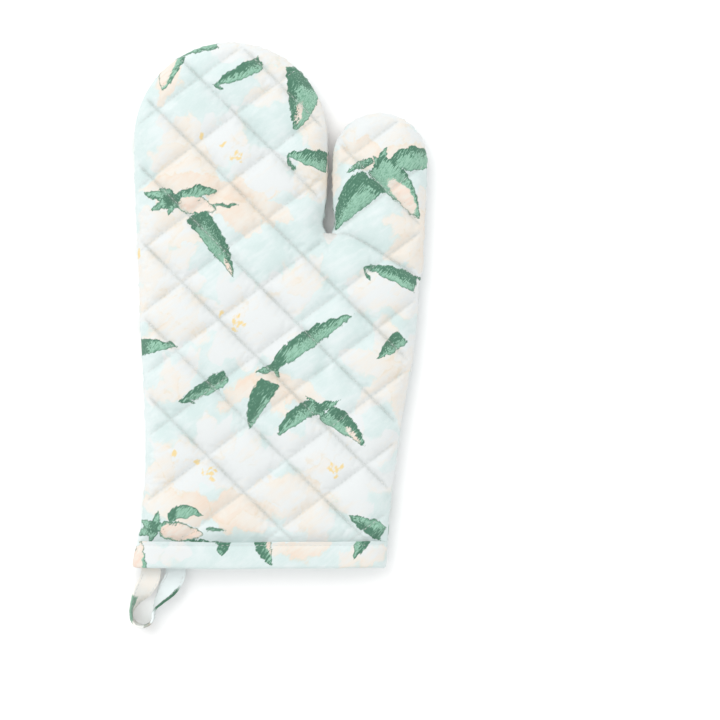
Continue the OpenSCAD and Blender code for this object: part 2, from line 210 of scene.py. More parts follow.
def inside(loop: np.ndarray, points: np.ndarray) -> np.ndarray:
    """Says which points lie inside a closed loop, by the even-odd rule.

    Args:
        loop: The loop's points, in order.
        points: The points to test.

    Returns:
        True for each point that is inside.
    """
    odd = np.zeros(len(points), bool)
    for (x0, y0), (x1, y1) in zip(loop, np.roll(loop, -1, axis=0)):
        spans = (y0 > points[:, 1]) != (y1 > points[:, 1])
        if y0 != y1:
            odd ^= spans & (points[:, 0] < (x1 - x0) * (points[:, 1] - y0) / (y1 - y0) + x0)
    return odd


# ---------------------------------------------------------------- the frame and plain meshes


@dataclass
class Bench:
    """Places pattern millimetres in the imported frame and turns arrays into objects."""

    shift: Vector

    @classmethod
    def from_frame(cls) -> "Bench":
        """Finds the pattern's axes: X = 0 is the middle of the fingers and Y = 0 the palm panel's edge."""
        low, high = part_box("fingers_front_outer")
        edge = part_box("palm_front_outer")[0].y
        return cls(Vector(((low.x + high.x) / 2, edge, 0.0)))

    def row(self, points: np.ndarray) -> np.ndarray:
        """Turns pattern millimetres into metres of the frame."""
        return np.asarray(points, float) * MM + np.array(self.shift)

    def place(self, x: float, y: float, z: float) -> Vector:
        """One point of the pattern, in metres of the frame."""
        return Vector((x, y, z)) * MM + self.shift

    def solid(self, name: str, points: np.ndarray, faces: Sequence[np.ndarray]) -> bpy.types.Object:
        """Makes a smooth mesh object.

        Args:
            name: The piece's name.
            points: Its vertices, in pattern millimetres.
            faces: Arrays of corner indices, each with one count of corners to a row.

        Returns:
            The new object, at the origin.
        """
        mesh = bpy.data.meshes.new(name)
        corners = np.concatenate([f.reshape(-1) for f in faces]).astype(np.int32)
        counts = np.concatenate([np.full(len(f), f.shape[1]) for f in faces]).astype(np.int32)
        starts = np.concatenate([[0], np.cumsum(counts)[:-1]]).astype(np.int32)
        mesh.vertices.add(len(points))
        mesh.vertices.foreach_set("co", self.row(points).astype(np.float32).reshape(-1))
        mesh.loops.add(len(corners))
        mesh.loops.foreach_set("vertex_index", corners)
        mesh.polygons.add(len(counts))
        mesh.polygons.foreach_set("loop_start", starts)
        mesh.polygons.foreach_set("use_smooth", np.full(len(counts), True))
        mesh.update(calc_edges=True)
        mesh.validate()
        obj = bpy.data.objects.new(name, mesh)
        bpy.context.scene.collection.objects.link(obj)
        return obj


def add_values(obj: bpy.types.Object, values: dict[str, np.ndarray]) -> None:
    """Stores numbers on a mesh.

    Args:
        obj: The mesh object.
        values: One number to a vertex, under each name.
    """
    for name, column in values.items():
        attribute = obj.data.attributes.get(name) or obj.data.attributes.new(name, "FLOAT", "POINT")
        attribute.data.foreach_set("value", np.asarray(column, np.float32))


def read_values(mesh: bpy.types.Mesh, name: str) -> np.ndarray:
    """Reads the numbers stored under a name.

    Args:
        mesh: The mesh.
        name: The name.

    Returns:
        One number to a vertex.
    """
    out = np.zeros(len(mesh.vertices), np.float32)
    mesh.attributes[name].data.foreach_get("value", out)
    return out.astype(float)


def corner_arrays(mesh: bpy.types.Mesh) -> np.ndarray:
    """Reads a mesh of four-sided faces as rows of corners."""
    out = np.zeros(len(mesh.loops), np.int32)
    mesh.loops.foreach_get("vertex_index", out)
    return out.reshape(-1, 4)


def positions(mesh: bpy.types.Mesh) -> np.ndarray:
    """Reads a mesh's vertices."""
    out = np.zeros(len(mesh.vertices) * 3, np.float32)
    mesh.vertices.foreach_get("co", out)
    return out.reshape(-1, 3).astype(float)


def tube_faces(count: int, around: int, closed: bool, capped: bool = False) -> list[np.ndarray]:
    """The faces of rings of points that follow each other.

    Args:
        count: How many rings there are.
        around: How many points each ring has.
        closed: Whether the last ring joins the first.
        capped: Whether the two ends are closed with flat faces.

    Returns:
        Arrays of faces, for Bench.solid.
    """
    k = np.arange(count if closed else count - 1)[:, None]
    i = np.arange(around)[None, :]
    n, j = (k + 1) % count, (i + 1) % around
    here, ahead = k * around, n * around
    faces = [np.stack([here + i, here + j, ahead + j, ahead + i], axis=2).reshape(-1, 4)]
    if capped:
        faces += [np.arange(around)[::-1][None, :], ((count - 1) * around + np.arange(around))[None, :]]
    return faces


# ---------------------------------------------------------------- shader graphs


class Wire:
    """A number that varies over a surface; arithmetic on it adds Math nodes."""

    def __init__(self, graph: "Graph", socket: bpy.types.NodeSocket) -> None:
        """Wraps an output socket of a graph."""
        self.graph = graph
        self.socket = socket

    def _with(self, operation: str, *others: "Wire | float", clamp: bool = False) -> "Wire":
        """Adds a Math node to this value and others."""
        node = self.graph.node("ShaderNodeMath", {"operation": operation, "use_clamp": clamp},
                               dict(enumerate((self, *others))))
        return Wire(self.graph, node.outputs[0])

    def __add__(self, other: "Wire | float") -> "Wire":
        """self + other."""
        return self._with("ADD", other)

    __radd__ = __add__

    def __mul__(self, other: "Wire | float") -> "Wire":
        """self * other."""
        return self._with("MULTIPLY", other)

    __rmul__ = __mul__

    def __sub__(self, other: "Wire | float") -> "Wire":
        """self - other."""
        return self._with("SUBTRACT", other)

    def __rsub__(self, other: float) -> "Wire":
        """other - self."""
        return (self * -1.0)._with("ADD", other)

    def sine(self) -> "Wire":
        """The sine of the value."""
        return self._with("SINE")

    def higher(self, other: "Wire | float") -> "Wire":
        """The greater of two values."""
        return self._with("MAXIMUM", other)

    def lower(self, other: "Wire | float") -> "Wire":
        """The lesser of two values."""
        return self._with("MINIMUM", other)

    def over(self, edge: float, soft: float) -> "Wire":
        """0 below an edge and 1 above it, with a ramp of width soft between."""
        return self._with("MULTIPLY_ADD", 1.0 / soft, 0.5 - edge / soft, clamp=True)


Colour = tuple[float, float, float]


def linear(red: int, green: int, blue: int) -> Colour:
    """Turns a screen colour, 0 to 255, into light."""
    def one(v: float) -> float:
        return v / 12.92 if v <= 0.04045 else ((v + 0.055) / 1.055) ** 2.4
    return one(red / 255), one(green / 255), one(blue / 255)


def seen_as(red: int, green: int, blue: int) -> Colour:
    """The colour of a cloth that looks like a screen colour under the studio's bright lamps."""
    return tuple(v / LAMP_LEVEL for v in linear(red, green, blue))


class Graph:
    """A material's nodes, with short ways to add the ones that the cloths use."""

    def __init__(self, name: str) -> None:
        """Starts an empty material with its shader."""
        self.material = bpy.data.materials.new(name)
        self.material.use_nodes = True
        self.tree = self.material.node_tree
        self.tree.nodes.clear()
        self.shader = self.node("ShaderNodeBsdfPrincipled")
        out = self.node("ShaderNodeOutputMaterial")
        self.tree.links.new(self.shader.outputs[0], out.inputs[0])

    def node(self, kind: str, settings: dict | None = None, inputs: dict | None = None) -> bpy.types.Node:
        """Adds a node.

        Args:
            kind: The node's type.
            settings: Its own settings, set first.
            inputs: Values or links for its sockets, by name or index.

        Returns:
            The new node.
        """
        node = self.tree.nodes.new(kind)
        for key, value in (settings or {}).items():
            setattr(node, key, value)
        for key, value in (inputs or {}).items():
            source = value.socket if isinstance(value, Wire) else value
            if isinstance(source, bpy.types.NodeSocket):
                self.tree.links.new(source, node.inputs[key])
            elif isinstance(source, tuple) and len(source) == 3 and node.inputs[key].type == "RGBA":
                node.inputs[key].default_value = (*source, 1.0)
            else:
                node.inputs[key].default_value = source
        return node

    def value(self, name: str) -> Wire:
        """A number stored on the mesh."""
        return Wire(self, self.node("ShaderNodeAttribute", {"attribute_name": name}).outputs["Fac"])

    def place(self) -> bpy.types.NodeSocket:
        """The surface's own coordinates."""
        return self.node("ShaderNodeTexCoord").outputs["Object"]

    def axes(self) -> tuple[Wire, Wire, Wire]:
        """The surface's own coordinates, apart."""
        split = self.node("ShaderNodeSeparateXYZ", {}, {0: self.place()})
        return tuple(Wire(self, s) for s in split.outputs)

    def noise(self, size_mm: float, detail: float = 2.0, long: float = 1.0, turn: float = 0.0) -> Wire:
        """Cloudy noise about 0, mostly from -0.25 to 0.25.

        Args:
            size_mm: The size of its clouds.
            detail: How fine its finest clouds are.
            long: How many times longer than wide the clouds are.
            turn: The direction of their length, in degrees.

        Returns:
            The noise.
        """
        size = size_mm * MM
        at = self.node("ShaderNodeMapping", {"vector_type": "TEXTURE"}, {
            "Vector": self.place(), "Rotation": (0.0, 0.0, math.radians(turn)),
            "Scale": (size * long, size, size)})
        node = self.node("ShaderNodeTexNoise", {}, {"Vector": at.outputs[0], "Scale": 1.0, "Detail": detail})
        return Wire(self, node.outputs["Fac"]) - 0.5

    def mix(self, share: Wire | float, a: object, b: object) -> bpy.types.NodeSocket:
        """Mixes two colours.

        Args:
            share: How much of the second one shows, from 0 to 1.
            a: The first colour.
            b: The second.

        Returns:
            The mixed colour.
        """
        node = self.node("ShaderNodeMix", {"data_type": "RGBA"}, {0: share, 6: a, 7: b})
        return node.outputs[2]

    def finish(self, colour: object, roughness: float, sheen: float, height: Wire | None,
               depth_mm: float) -> None:
        """Connects the shader.

        Args:
            colour: The base colour.
            roughness: How matt the surface is, on average; its relief makes it vary a little.
            sheen: The soft shine of its loose fibres.
            height: The relief of its weave.
            depth_mm: How deep that relief is.
        """
        if isinstance(colour, tuple):
            self.shader.inputs["Base Color"].default_value = (*colour, 1.0)
        else:
            self.tree.links.new(colour, self.shader.inputs["Base Color"])
        self.shader.inputs["Roughness"].default_value = roughness
        self.shader.inputs["Sheen Weight"].default_value = sheen
        self.shader.inputs["Sheen Roughness"].default_value = 0.6
        self.shader.inputs["Specular IOR Level"].default_value = 0.2
        if height is not None:
            matt = self.noise(0.9, 2.0) * 0.2 + roughness
            self.tree.links.new(matt.socket, self.shader.inputs["Roughness"])
            bump = self.node("ShaderNodeBump", {}, {
                "Height": height, "Distance": depth_mm * MM, "Strength": 1.0})
            self.tree.links.new(bump.outputs[0], self.shader.inputs["Normal"])


# ---------------------------------------------------------------- the printed pattern


@dataclass(frozen=True)
class Blade:
    """A leaf or a petal: a pointed shape about a bowed midrib, in millimetres of the cloth."""

    root: Point
    tip: Point
    width: float
    bow: float = 0.0
    blunt: float = 0.0
    fullness: float = 0.75

    def measure(self, at: np.ndarray) -> tuple[np.ndarray, np.ndarray, np.ndarray, np.ndarray]:
        """Measures points against the blade.

        Args:
            at: Points of the cloth.

        Returns:
            How deep each point is inside the outline, its share of the way from root to tip, its distance to
            the left of the midrib, and the half width there.
        """
        root, tip = np.array(self.root, float), np.array(self.tip, float)
        length = float(np.linalg.norm(tip - root))
        along = (tip - root) / length
        t = (at - root) @ along / length
        left = (at - root) @ np.array([-along[1], along[0]])
        left = left - 4.0 * self.bow * np.clip(t, 0, 1) * (1 - np.clip(t, 0, 1))
        s = self.blunt + (1 - self.blunt) * np.clip(t, 0.0, 1.0)
        half = self.width / 2 * np.power(np.sin(math.pi * np.power(s, 0.8)), self.fullness)
        depth = np.minimum(half - np.abs(left), np.minimum(t * length + 0.4, (1 - t) * length + 0.4))
        return depth, t, left, half


@dataclass(frozen=True)
class Leaf(Blade):
    """A printed leaf in two greens, with or without a pale inside."""

    dark: float = 0.5
    side: int = 1
    dark_root: float = 0.0
    pale: tuple[float, float, float, float] | None = None

    def shades(self, at: np.ndarray) -> tuple[np.ndarray, np.ndarray, np.ndarray]:
        """Measures the leaf's outline, its dark green and its pale inside.

        Args:
            at: Points of the cloth.

        Returns:
            How deep each point is inside each of the three, in millimetres.
        """
        depth, t, left, half = self.measure(at)
        length = math.dist(self.root, self.tip)
        dark = np.maximum(self.side * left - (1 - 2 * self.dark) * half, (self.dark_root - t) * length)
        if self.pale is None:
            return depth, dark, np.full(len(at), -4.0)
        mid, across, long, wide = self.pale
        off = np.hypot((t - mid) * length / (long / 2), (left - across) / (wide / 2))
        return depth, dark, (1 - off) * min(long, wide) / 2


@dataclass(frozen=True)
class Petal(Blade):
    """A printed petal, white to peach: warm is its tone at the root and at the tip."""

    warm: Point = (0.1, 0.0)


@dataclass(frozen=True)
class Dab:
    """A dab of pollen colour."""

    at: Point
    long: float
    wide: float
    turn: float = 0.0


def petals(centre: Point, *spokes: tuple[float, float, float], warm: Point = (0.15, 0.0)) -> list[Petal]:
    """Petals that spread from a centre.

    Args:
        centre: The middle of the flower.
        spokes: Each petal's direction in degrees, its length and its width.
        warm: The tone at the root and at the tip.

    Returns:
        The petals.
    """
    out = []
    for turn, long, wide in spokes:
        a = math.radians(turn)
        tip = (centre[0] + long * math.cos(a), centre[1] + long * math.sin(a))
        out.append(Petal(centre, tip, wide, warm=warm, blunt=0.1, fullness=0.6))
    return out


@dataclass(frozen=True)
class Print:
    """What is printed on one cloth, in the cloth's own millimetres."""

    petals: tuple[Petal, ...] = ()
    leaves: tuple[Leaf, ...] = ()
    dabs: tuple[Dab, ...] = ()

    def fields(self, at: np.ndarray) -> dict[str, np.ndarray]:
        """Works out the print at points of the cloth.

        Args:
            at: The points.

        Returns:
            The depth of each colour's shape in millimetres, by name, and the petals' tone.
        """
        none = np.full(len(at), -4.0)
        loose, at = wander(at, 21.0, 3.2), wander(at, 9.0, 0.9)
        loose = wander(loose, 6.0, 1.0)
        out = {"petal": none.copy(), "leaf": none.copy(), "dark": none.copy(), "pale": none.copy(),
               "pollen": none.copy(), "warm": np.zeros(len(at)), "rim": np.full(len(at), 3.0)}
        for petal in self.petals:
            depth, t, left, half = petal.measure(loose)
            top = (depth > 0.0) | (depth > out["petal"])
            tone = petal.warm[0] + (petal.warm[1] - petal.warm[0]) * np.clip(t, 0, 1)
            tone = tone + 0.22 * smoothstep(-left / np.maximum(half, 1.0), 0.1, 1.0)
            edge = np.minimum(depth, 3.0)
            out["rim"] = np.where(depth > 0.0, edge, np.minimum(out["rim"], np.where(depth > -0.8, 0.0, 9.0)))
            out["petal"] = np.maximum(out["petal"], depth)
            out["warm"][top] = tone[top]
        for leaf in self.leaves:
            depth, dark, pale = leaf.shades(at)
            top = depth > out["leaf"]
            for name, column in (("leaf", depth), ("dark", dark), ("pale", pale)):
                out[name][top] = column[top]
        for dab in self.dabs:
            turn = math.radians(dab.turn)
            along = (at - dab.at) @ np.array([math.cos(turn), math.sin(turn)])
            across = (at - dab.at) @ np.array([-math.sin(turn), math.cos(turn)])
            off = np.hypot(along / (dab.long / 2), across / (dab.wide / 2))
            out["pollen"] = np.maximum(out["pollen"], (1 - off) * min(dab.long, dab.wide) / 2)
        return {name: np.clip(column, -4.0, 6.0) for name, column in out.items()}


def stamens(centre: Point, spread: float, turn: float) -> list[Dab]:
    """A tuft of five dabs about a flower's middle.

    Args:
        centre: The middle.
        spread: How far the tuft reaches.
        turn: The direction that it leans to, in degrees.

    Returns:
        The dabs.
    """
    out = []
    for k, (swing, reach) in enumerate(((-50, 0.9), (-18, 0.45), (15, 1.0), (48, 0.6), (170, 0.35))):
        a = math.radians(turn + swing)
        at = (centre[0] + spread * reach * math.cos(a), centre[1] + spread * reach * math.sin(a))
        out.append(Dab(at, spread * (0.85 if k % 2 else 0.6), spread * 0.32, turn + swing * 0.6))
    return out


def tuft(centre: Point, size: float, turn: float, spokes: Iterable[tuple[float, float]]) -> list[Leaf]:
    """The ragged green knot where petals and leaves meet: short blades about a dark middle.

    Args:
        centre: The middle of the knot.
        size: The length of a blade of share 1.
        turn: The direction in degrees that the spokes' own directions start from.
        spokes: Each blade's direction and its share of the length.

    Returns:
        The blades.
    """
    out = []
    for swing, share in spokes:
        a = math.radians(turn + swing)
        tip = (centre[0] + size * share * math.cos(a), centre[1] + size * share * math.sin(a))
        out.append(Leaf(centre, tip, size * (0.26 + 0.12 * share), blunt=0.35, dark=0.25, dark_root=0.4))
    return out


WHITE, BUTTER, BLUSH = (0.05, 0.0), (0.45, 0.25), (0.9, 0.45)

LILIES: tuple[Petal, ...] = (
    *petals((-8, 250), (138, 50, 30), (168, 44, 28), (196, 46, 26), (116, 38, 20), warm=(0.6, 0.3)),
    *petals((-14, 240), (-22, 58, 22), (-42, 46, 22), (184, 44, 18), (-4, 50, 14), warm=(1.0, 0.55)),
    *petals((0, 255), (87, 38, 20), (118, 34, 17), (2, 42, 17), (-21, 54, 20), (40, 18, 12), warm=WHITE),
    *petals((-36, 206), (80, 30, 28), (40, 34, 22), (140, 28, 22), warm=BUTTER),
    *petals((-56, 178), (82, 40, 26), (35, 42, 18), (5, 40, 26), (-32, 44, 28), (-62, 38, 24), (60, 38, 18),
            warm=(0.35, 0.15)),
    *petals((-14, 152), (172, 46, 26), (194, 44, 20), (150, 34, 18), (120, 30, 14), warm=BUTTER),
    *petals((40, 168), (82, 30, 15), (60, 34, 15), (100, 24, 12), (38, 26, 13), warm=(0.5, 0.25)),
    *petals((6, 150), (52, 44, 26), (26, 46, 24), (84, 38, 22), (108, 38, 16), (0, 42, 24), (-26, 40, 22),
            (150, 28, 22), (-70, 26, 24), (-130, 26, 20), warm=WHITE),
    *petals((-20, 54), (176, 42, 26), (140, 42, 20), (205, 36, 20), (112, 34, 16), warm=(0.5, 0.2)),
    *petals((-12, 36), (2, 52, 18), (-14, 40, 16), (172, 46, 20), (20, 48, 18), warm=(0.95, 0.3)),
    *petals((-12, 60), (16, 50, 24), (42, 42, 20), (72, 40, 20), (96, 38, 16), (-8, 46, 20), (146, 30, 20),
            (190, 26, 18), warm=WHITE),
    *petals((94, 262), (58, 34, 30), (112, 34, 30), (20, 34, 26), (165, 34, 26), (88, 34, 34), (-10, 30, 16),
            warm=(0.25, 0.1)),
    *petals((96, 256), (12, 36, 14), (174, 38, 14), (150, 30, 12), warm=(0.9, 0.5)),
    *petals((124, 204), (96, 36, 18), (150, 30, 18), (196, 30, 16), (-108, 40, 20), (120, 30, 16),
            warm=(0.65, 0.35)),
    *petals((98, 174), (14, 30, 22), (172, 28, 22), (-26, 32, 20), (-160, 26, 18), (80, 14, 20),
            warm=(0.2, 0.1)),
    *petals((30, 322), (172, 46, 20), (4, 40, 26), (-22, 36, 22), (60, 26, 24), (150, 40, 18),
            warm=(0.25, 0.1)),
    *petals((50, 306), (198, 46, 16), (-96, 44, 12), (176, 36, 18), (-80, 60, 16), warm=BUTTER),
    *petals((64, 250), (200, 26, 24), (-120, 26, 16), (170, 24, 16), (150, 20, 16), warm=(0.6, 0.35)),
    *petals((-34, 318), (250, 30, 14), warm=(1.0, 0.7)),
    *petals((-36, 110), (60, 34, 16), (180, 22, 14), (100, 26, 12), warm=(0.4, 0.2)),
    *petals((66, 60), (150, 50, 24), (110, 44, 22), (70, 46, 22), (30, 48, 24), (-8, 44, 22), (-60, 40, 22),
            (205, 46, 22), warm=WHITE),
    *petals((56, 50), (230, 36, 22), (182, 44, 20), (-95, 40, 20), warm=BUTTER),
    *petals((20, 120), (215, 34, 14), (-20, 44, 16), (-60, 30, 14), warm=(0.9, 0.5)),
    *petals((106, 122), (110, 40, 18), (60, 34, 16), (160, 42, 18), (220, 36, 18), (-80, 38, 16),
            warm=BUTTER),
)

LEAVES: tuple[Leaf, ...] = (
    Leaf((-9, 330), (-33, 323), 8, bow=-2, blunt=0.2, dark=0.3),
    Leaf((-36, 324), (-42, 300), 15, bow=-1, blunt=0.3, dark=0.12, side=1, pale=(0.42, -1.5, 26, 9.5)),
    Leaf((19, 318), (-11, 303), 9.5, blunt=0.3, dark=0.55, side=-1, bow=1),
    Leaf((-4, 300.5), (-11, 303.5), 2.4, dark=0.9),
    Leaf((46, 314), (40.5, 275), 23, bow=2.5, blunt=0.32, dark=0.28, side=-1, dark_root=0.3,
         pale=(0.72, -1.5, 15, 5.5)),
    Leaf((47, 317.5), (37, 315), 2.2, dark=1.0),
    Leaf((61.5, 254.8), (35, 259.5), 12.5, blunt=0.42, dark=0.52, side=-1, bow=-1),
    Leaf((41.5, 250), (35.4, 259.5), 2.6, dark=0.9, bow=1),
    *tuft((-35, 231.5), 21, 0, ((168, 0.95), (205, 0.75), (25, 0.7), (140, 0.6), (250, 0.5))),
    Leaf((-30, 233), (-8, 236), 7.5, bow=2.5, blunt=0.1, dark=0.3),
    Leaf((-33, 231), (-8, 225), 12.5, blunt=0.12, dark=0.0, pale=(0.5, 0, 27, 12)),
    Leaf((-11, 228), (6, 228), 2.4, bow=-0.5, dark=0.6),
    Leaf((-22, 222.5), (2, 183), 14.5, bow=2, blunt=0.3, dark=0.45, side=1, dark_root=0.18,
         pale=(0.86, -0.5, 13, 4.2)),
    *tuft((93, 254), 15, 0, ((62, 0.8), (255, 0.75), (120, 0.35))),
    Leaf((89, 255.5), (72.5, 248), 5.2, bow=-1, blunt=0.15, dark=0.55),
    Leaf((100, 256), (136, 257), 15, bow=1, dark=0.3, side=1, dark_root=0.12),
    Leaf((92, 253), (119, 219.5), 17.5, bow=2.5, blunt=0.2, dark=0.1, side=1, pale=(0.58, -1.6, 27, 9.5)),
    Leaf((90, 243.5), (64.5, 213), 20, bow=-3, blunt=0.3, dark=0.48, side=-1, dark_root=0.14),
    Leaf((117, 178), (83.5, 189.5), 11, blunt=0.36, dark=0.6, side=-1, bow=-1.5),
    Leaf((88.5, 181), (83.8, 189.5), 2.2, dark=0.9, bow=0.8),
    Leaf((27, 127), (77, 159.5), 11.5, bow=2.2, blunt=0.05, dark=0.4, side=1, dark_root=0.16),
    *tuft((28, 127), 13, 0, ((200, 1.0), (215, 0.6), (75, 0.55), (-70, 0.6))),
    Leaf((25, 117), (12, 88), 13, bow=-2, blunt=0.3, dark=0.75, side=-1, dark_root=0.3),
    Leaf((-62, 138), (-33, 140), 10.5, bow=1, blunt=0.4, dark=0.25, dark_root=0.35),
    Leaf((-3, 121), (-33, 105), 10, bow=1, blunt=0.28, dark=0.62, side=-1),
    Leaf((-22, 104), (-33, 105.5), 2.2, dark=0.8, bow=-0.6),
    *tuft((-47, 26), 18, 0, ((160, 0.72), (200, 0.85), (245, 0.55), (75, 0.6), (20, 0.5))),
    Leaf((-38, 33), (-17, 34), 8.5, bow=3, blunt=0.1, dark=0.15, dark_root=0.2),
    Leaf((-43.5, 25), (-17, 21.5), 13, blunt=0.1, dark=0.02, pale=(0.5, 0, 28, 12)),
    Leaf((-15, 25), (-3, 25), 2.6, dark=0.5),
    Leaf((-44, 21), (-5, 16.5), 2.4, bow=-1, dark=0.9),
    Leaf((60, 98), (84, 78), 13, bow=2, blunt=0.25, dark=0.5, side=1, pale=(0.7, -1, 12, 4.5)),
    Leaf((52, 103), (30, 84), 10, bow=-1.5, blunt=0.2, dark=0.5, side=-1),
    *tuft((56, 101), 15, 20, ((0, 0.9), (120, 0.7), (200, 0.6), (270, 0.5))),
    Leaf((96, 22), (74, 34), 11, blunt=0.3, dark=0.5, side=1),
    Leaf((108, 146), (92, 132), 10, blunt=0.25, dark=0.6, side=-1),
)

HEARTS: tuple[Dab, ...] = (
    *stamens((2.5, 257.5), 5.2, 20),
    Dab((-18, 271.5), 5, 2.6, 80),
    Dab((-4, 266), 4.6, 2.4, 35),
    *stamens((4, 152), 6.4, 60),
    Dab((-6, 160), 4, 2.2, 60),
    *stamens((-15, 60), 5.8, 0),
    Dab((-35, 72), 4.2, 2.8, 70),
    Dab((-21, 67), 4.6, 2.4, 40),
    Dab((-59, 198), 6, 3.2, 80),
    *stamens((66, 60), 6, 100),
)

PANEL_PRINT = Print(LILIES, LEAVES, HEARTS)

BINDING_PRINT = Print(
    petals=(
        *petals((-57, 9), (90, 12, 12), (-90, 16, 12), warm=BLUSH),
        *petals((-40, 10), (180, 20, 14), (0, 20, 12), warm=WHITE),
        *petals((36, 12), (170, 14, 9), (10, 30, 16), warm=BLUSH),
        *petals((70, 6), (10, 34, 14), warm=BUTTER),
    ),
    leaves=(
        Leaf((-55.5, -9), (-57, 17.5), 13, blunt=0.25, dark=0.02, pale=(0.45, 0, 33, 7.6)),
        Leaf((-4, 26), (-4.5, 8.5), 12, blunt=0.5, fullness=0.5, dark=0.6, dark_root=0.8),
        Leaf((19, 26), (28, 1.5), 11, bow=-1.5, blunt=0.3, dark=0.6, side=-1, pale=(0.45, 2.8, 13, 4)),
        Leaf((84, 20), (78, 6), 9, blunt=0.4, dark=0.5),
    ),
)

# ---------------------------------------------------------------- the mitt's shape


def bowl(centre: Point, radius: float) -> np.ndarray:
    """The half circle over the top of a finger part, from its left to its right."""
    turn = np.radians(np.arange(180, -1, -3))
    return np.stack([centre[0] + radius * np.cos(turn), centre[1] + radius * np.sin(turn)], axis=1)


@dataclass
class Shape:
    """The mitt's outline, how high its two faces stand, and where they are quilted, in millimetres."""

    seam_height: float = 9.0
    front_rise: float = 11.3
    rest_height: float = 0.3
    roll: float = 34.0
    roundness: float = 2.6
    side_press: float = 0.6
    binding_height: float = 17.0
    panel_start: float = 2.6
    quilt_loft: float = 3.3
    quilt_pinch: float = 4.6
    crotch: Point = (61.7, 208.5)

    def __post_init__(self) -> None:
        """Draws the seam and the quilting lines."""
        left = curve_through([(-62.5, -30), (-62, 0), (-57, 26), (-54, 62), (-54.5, 106), (-56.5, 140),
                              (-58.5, 190), (-60.5, 240), (-61, 270)], 1.5)
        web_left = curve_through([(61, 270), (60.5, 240), (59, 225), (57.8, 216), self.crotch], 1.5)
        web_right = curve_through([self.crotch, (65.5, 216), (64.3, 230), (64, 245), (64, 257)], 1.5)
        right = curve_through([(123.4, 257), (123.4, 247), (122, 219), (120.6, 191), (118.4, 176),
                               (117.6, 160), (114, 130), (108, 95), (103, 60), (99, 26), (97.5, 0),
                               (97, -30)], 1.5)
        over_hand = resampled(bowl((0, 270), 61), 1.5)
        over_thumb = resampled(bowl((93.7, 257), 29.7), 1.5)
        self.hand_side = np.vstack([left, over_hand[1:-1], web_left])
        self.thumb_side = np.vstack([web_right, over_thumb[1:-1], right])
        self.seam = np.vstack([self.hand_side, self.thumb_side[1:]])
        turned = self.thumb_side[np.linalg.norm(self.thumb_side - (119.2, 182), axis=1).argmin()]
        self.valley = curve_through([self.crotch, (70, 210.5), (78, 208), (91.4, 200.3), (97, 196.6), turned],
                                    1.6)
        up = self.thumb_side[:np.linalg.norm(self.thumb_side - turned, axis=1).argmin() + 1]
        self.thumb_loop = np.vstack([self.valley, up[::-1][1:-1]])
        self.deep_lines, self.light_lines = self._quilting()
        self.lines = self.deep_lines + self.light_lines
        steps = np.linspace(0.0, self.roll, 1500)
        rise = self.front_rise * arch(1 - steps / self.roll, self.roundness)
        extra = np.hypot(np.diff(steps), np.diff(rise)) - np.diff(steps)
        self._spill = (steps, np.append(extra[::-1].cumsum()[::-1], 0.0))

    def _quilting(self) -> tuple[list[np.ndarray], list[np.ndarray]]:
        """Draws the quilting lines and cuts each to its parts inside the panel.

        Returns:
            The deep lines, with the valley from the crotch first, and the light ones.
        """
        runs = [self.valley]
        for k in (0, 1, 2, 3, 4, 5, 6, 10):
            total = 56.5 + 46.45 * k
            x = np.linspace(-70, 130 if k != 5 else 59, 260)
            runs.append(np.stack([x, total - x], axis=1))
        deep = len(runs)
        for k in range(-2, 8):
            x = np.linspace(-70, 130, 300)
            runs.append(np.stack([x, (0.6 * x + 194 - 32.1 * k) / 0.8], axis=1))
        out = [[], []]
        for k, run in enumerate(runs):
            even = resampled(run, 1.8)
            keep = inside(self.seam, even) & (even[:, 1] > self.binding_height)
            keep &= nearest_on(self.seam, even)[0] > 3.0
            cuts = np.flatnonzero(np.diff(keep.astype(int)) != 0) + 1
            parts = zip(np.split(even, cuts), np.split(keep, cuts))
            out[k >= deep] += [part for part, ok in parts if ok[0] and len(part) > 3]
        return out[0], out[1]

    def to_lines(self, plan: np.ndarray) -> tuple[np.ndarray, np.ndarray]:
        """The distance from points to the nearest deep line of quilting, and to the nearest light one."""
        return nearest_on(self.deep_lines, plan)[0], nearest_on(self.light_lines, plan)[0]

    def outward(self, plan: np.ndarray) -> tuple[np.ndarray, np.ndarray]:
        """The distance from points to the seam, and the direction out to it."""
        gap, place = nearest_on(self.seam, plan)
        return gap, (place - plan) / np.maximum(gap, 1e-6)[:, None]

    def height(self, gap: np.ndarray, face: Face, ply: float = 0.0) -> np.ndarray:
        """How high a face stands, before it is quilted.

        Args:
            gap: The distance in from the ply's own edge.
            face: The face.
            ply: How deep the skin lies under the outside of the mitt.

        Returns:
            Heights above the surface below.
        """
        if face is Face.FRONT:
            return self.seam_height + (self.front_rise - ply) * arch(1 - gap / self.roll, self.roundness)
        share = np.minimum(1.0, 1.03 * arch(1 - gap / (0.8 * self.roll), 2.3))
        return self.seam_height - (self.seam_height - self.rest_height - ply) * share

    def quilt_share(self, plan: np.ndarray, gap: np.ndarray) -> tuple[np.ndarray, np.ndarray]:
        """Works out the relief of the quilting.

        Args:
            plan: Points of the panel.
            gap: Their distances in from the seam.

        Returns:
            How far the cloth is lifted at each point, and how near each is to a line of stitches.
        """
        deep, light = self.to_lines(plan)
        lift = (1 - np.exp(-deep / self.quilt_pinch)) * (1 - 0.62 * np.exp(-light / self.quilt_pinch))
        lift = (lift - 0.52) * self.quilt_loft - 0.55 * np.exp(-(deep / 1.0) ** 2)
        lift = lift - 0.25 * np.exp(-(light / 0.9) ** 2)
        return lift * smoothstep(gap, 0.5, 8.0) * smoothstep(plan[:, 1], 16.0, 30.0), np.minimum(deep, light)

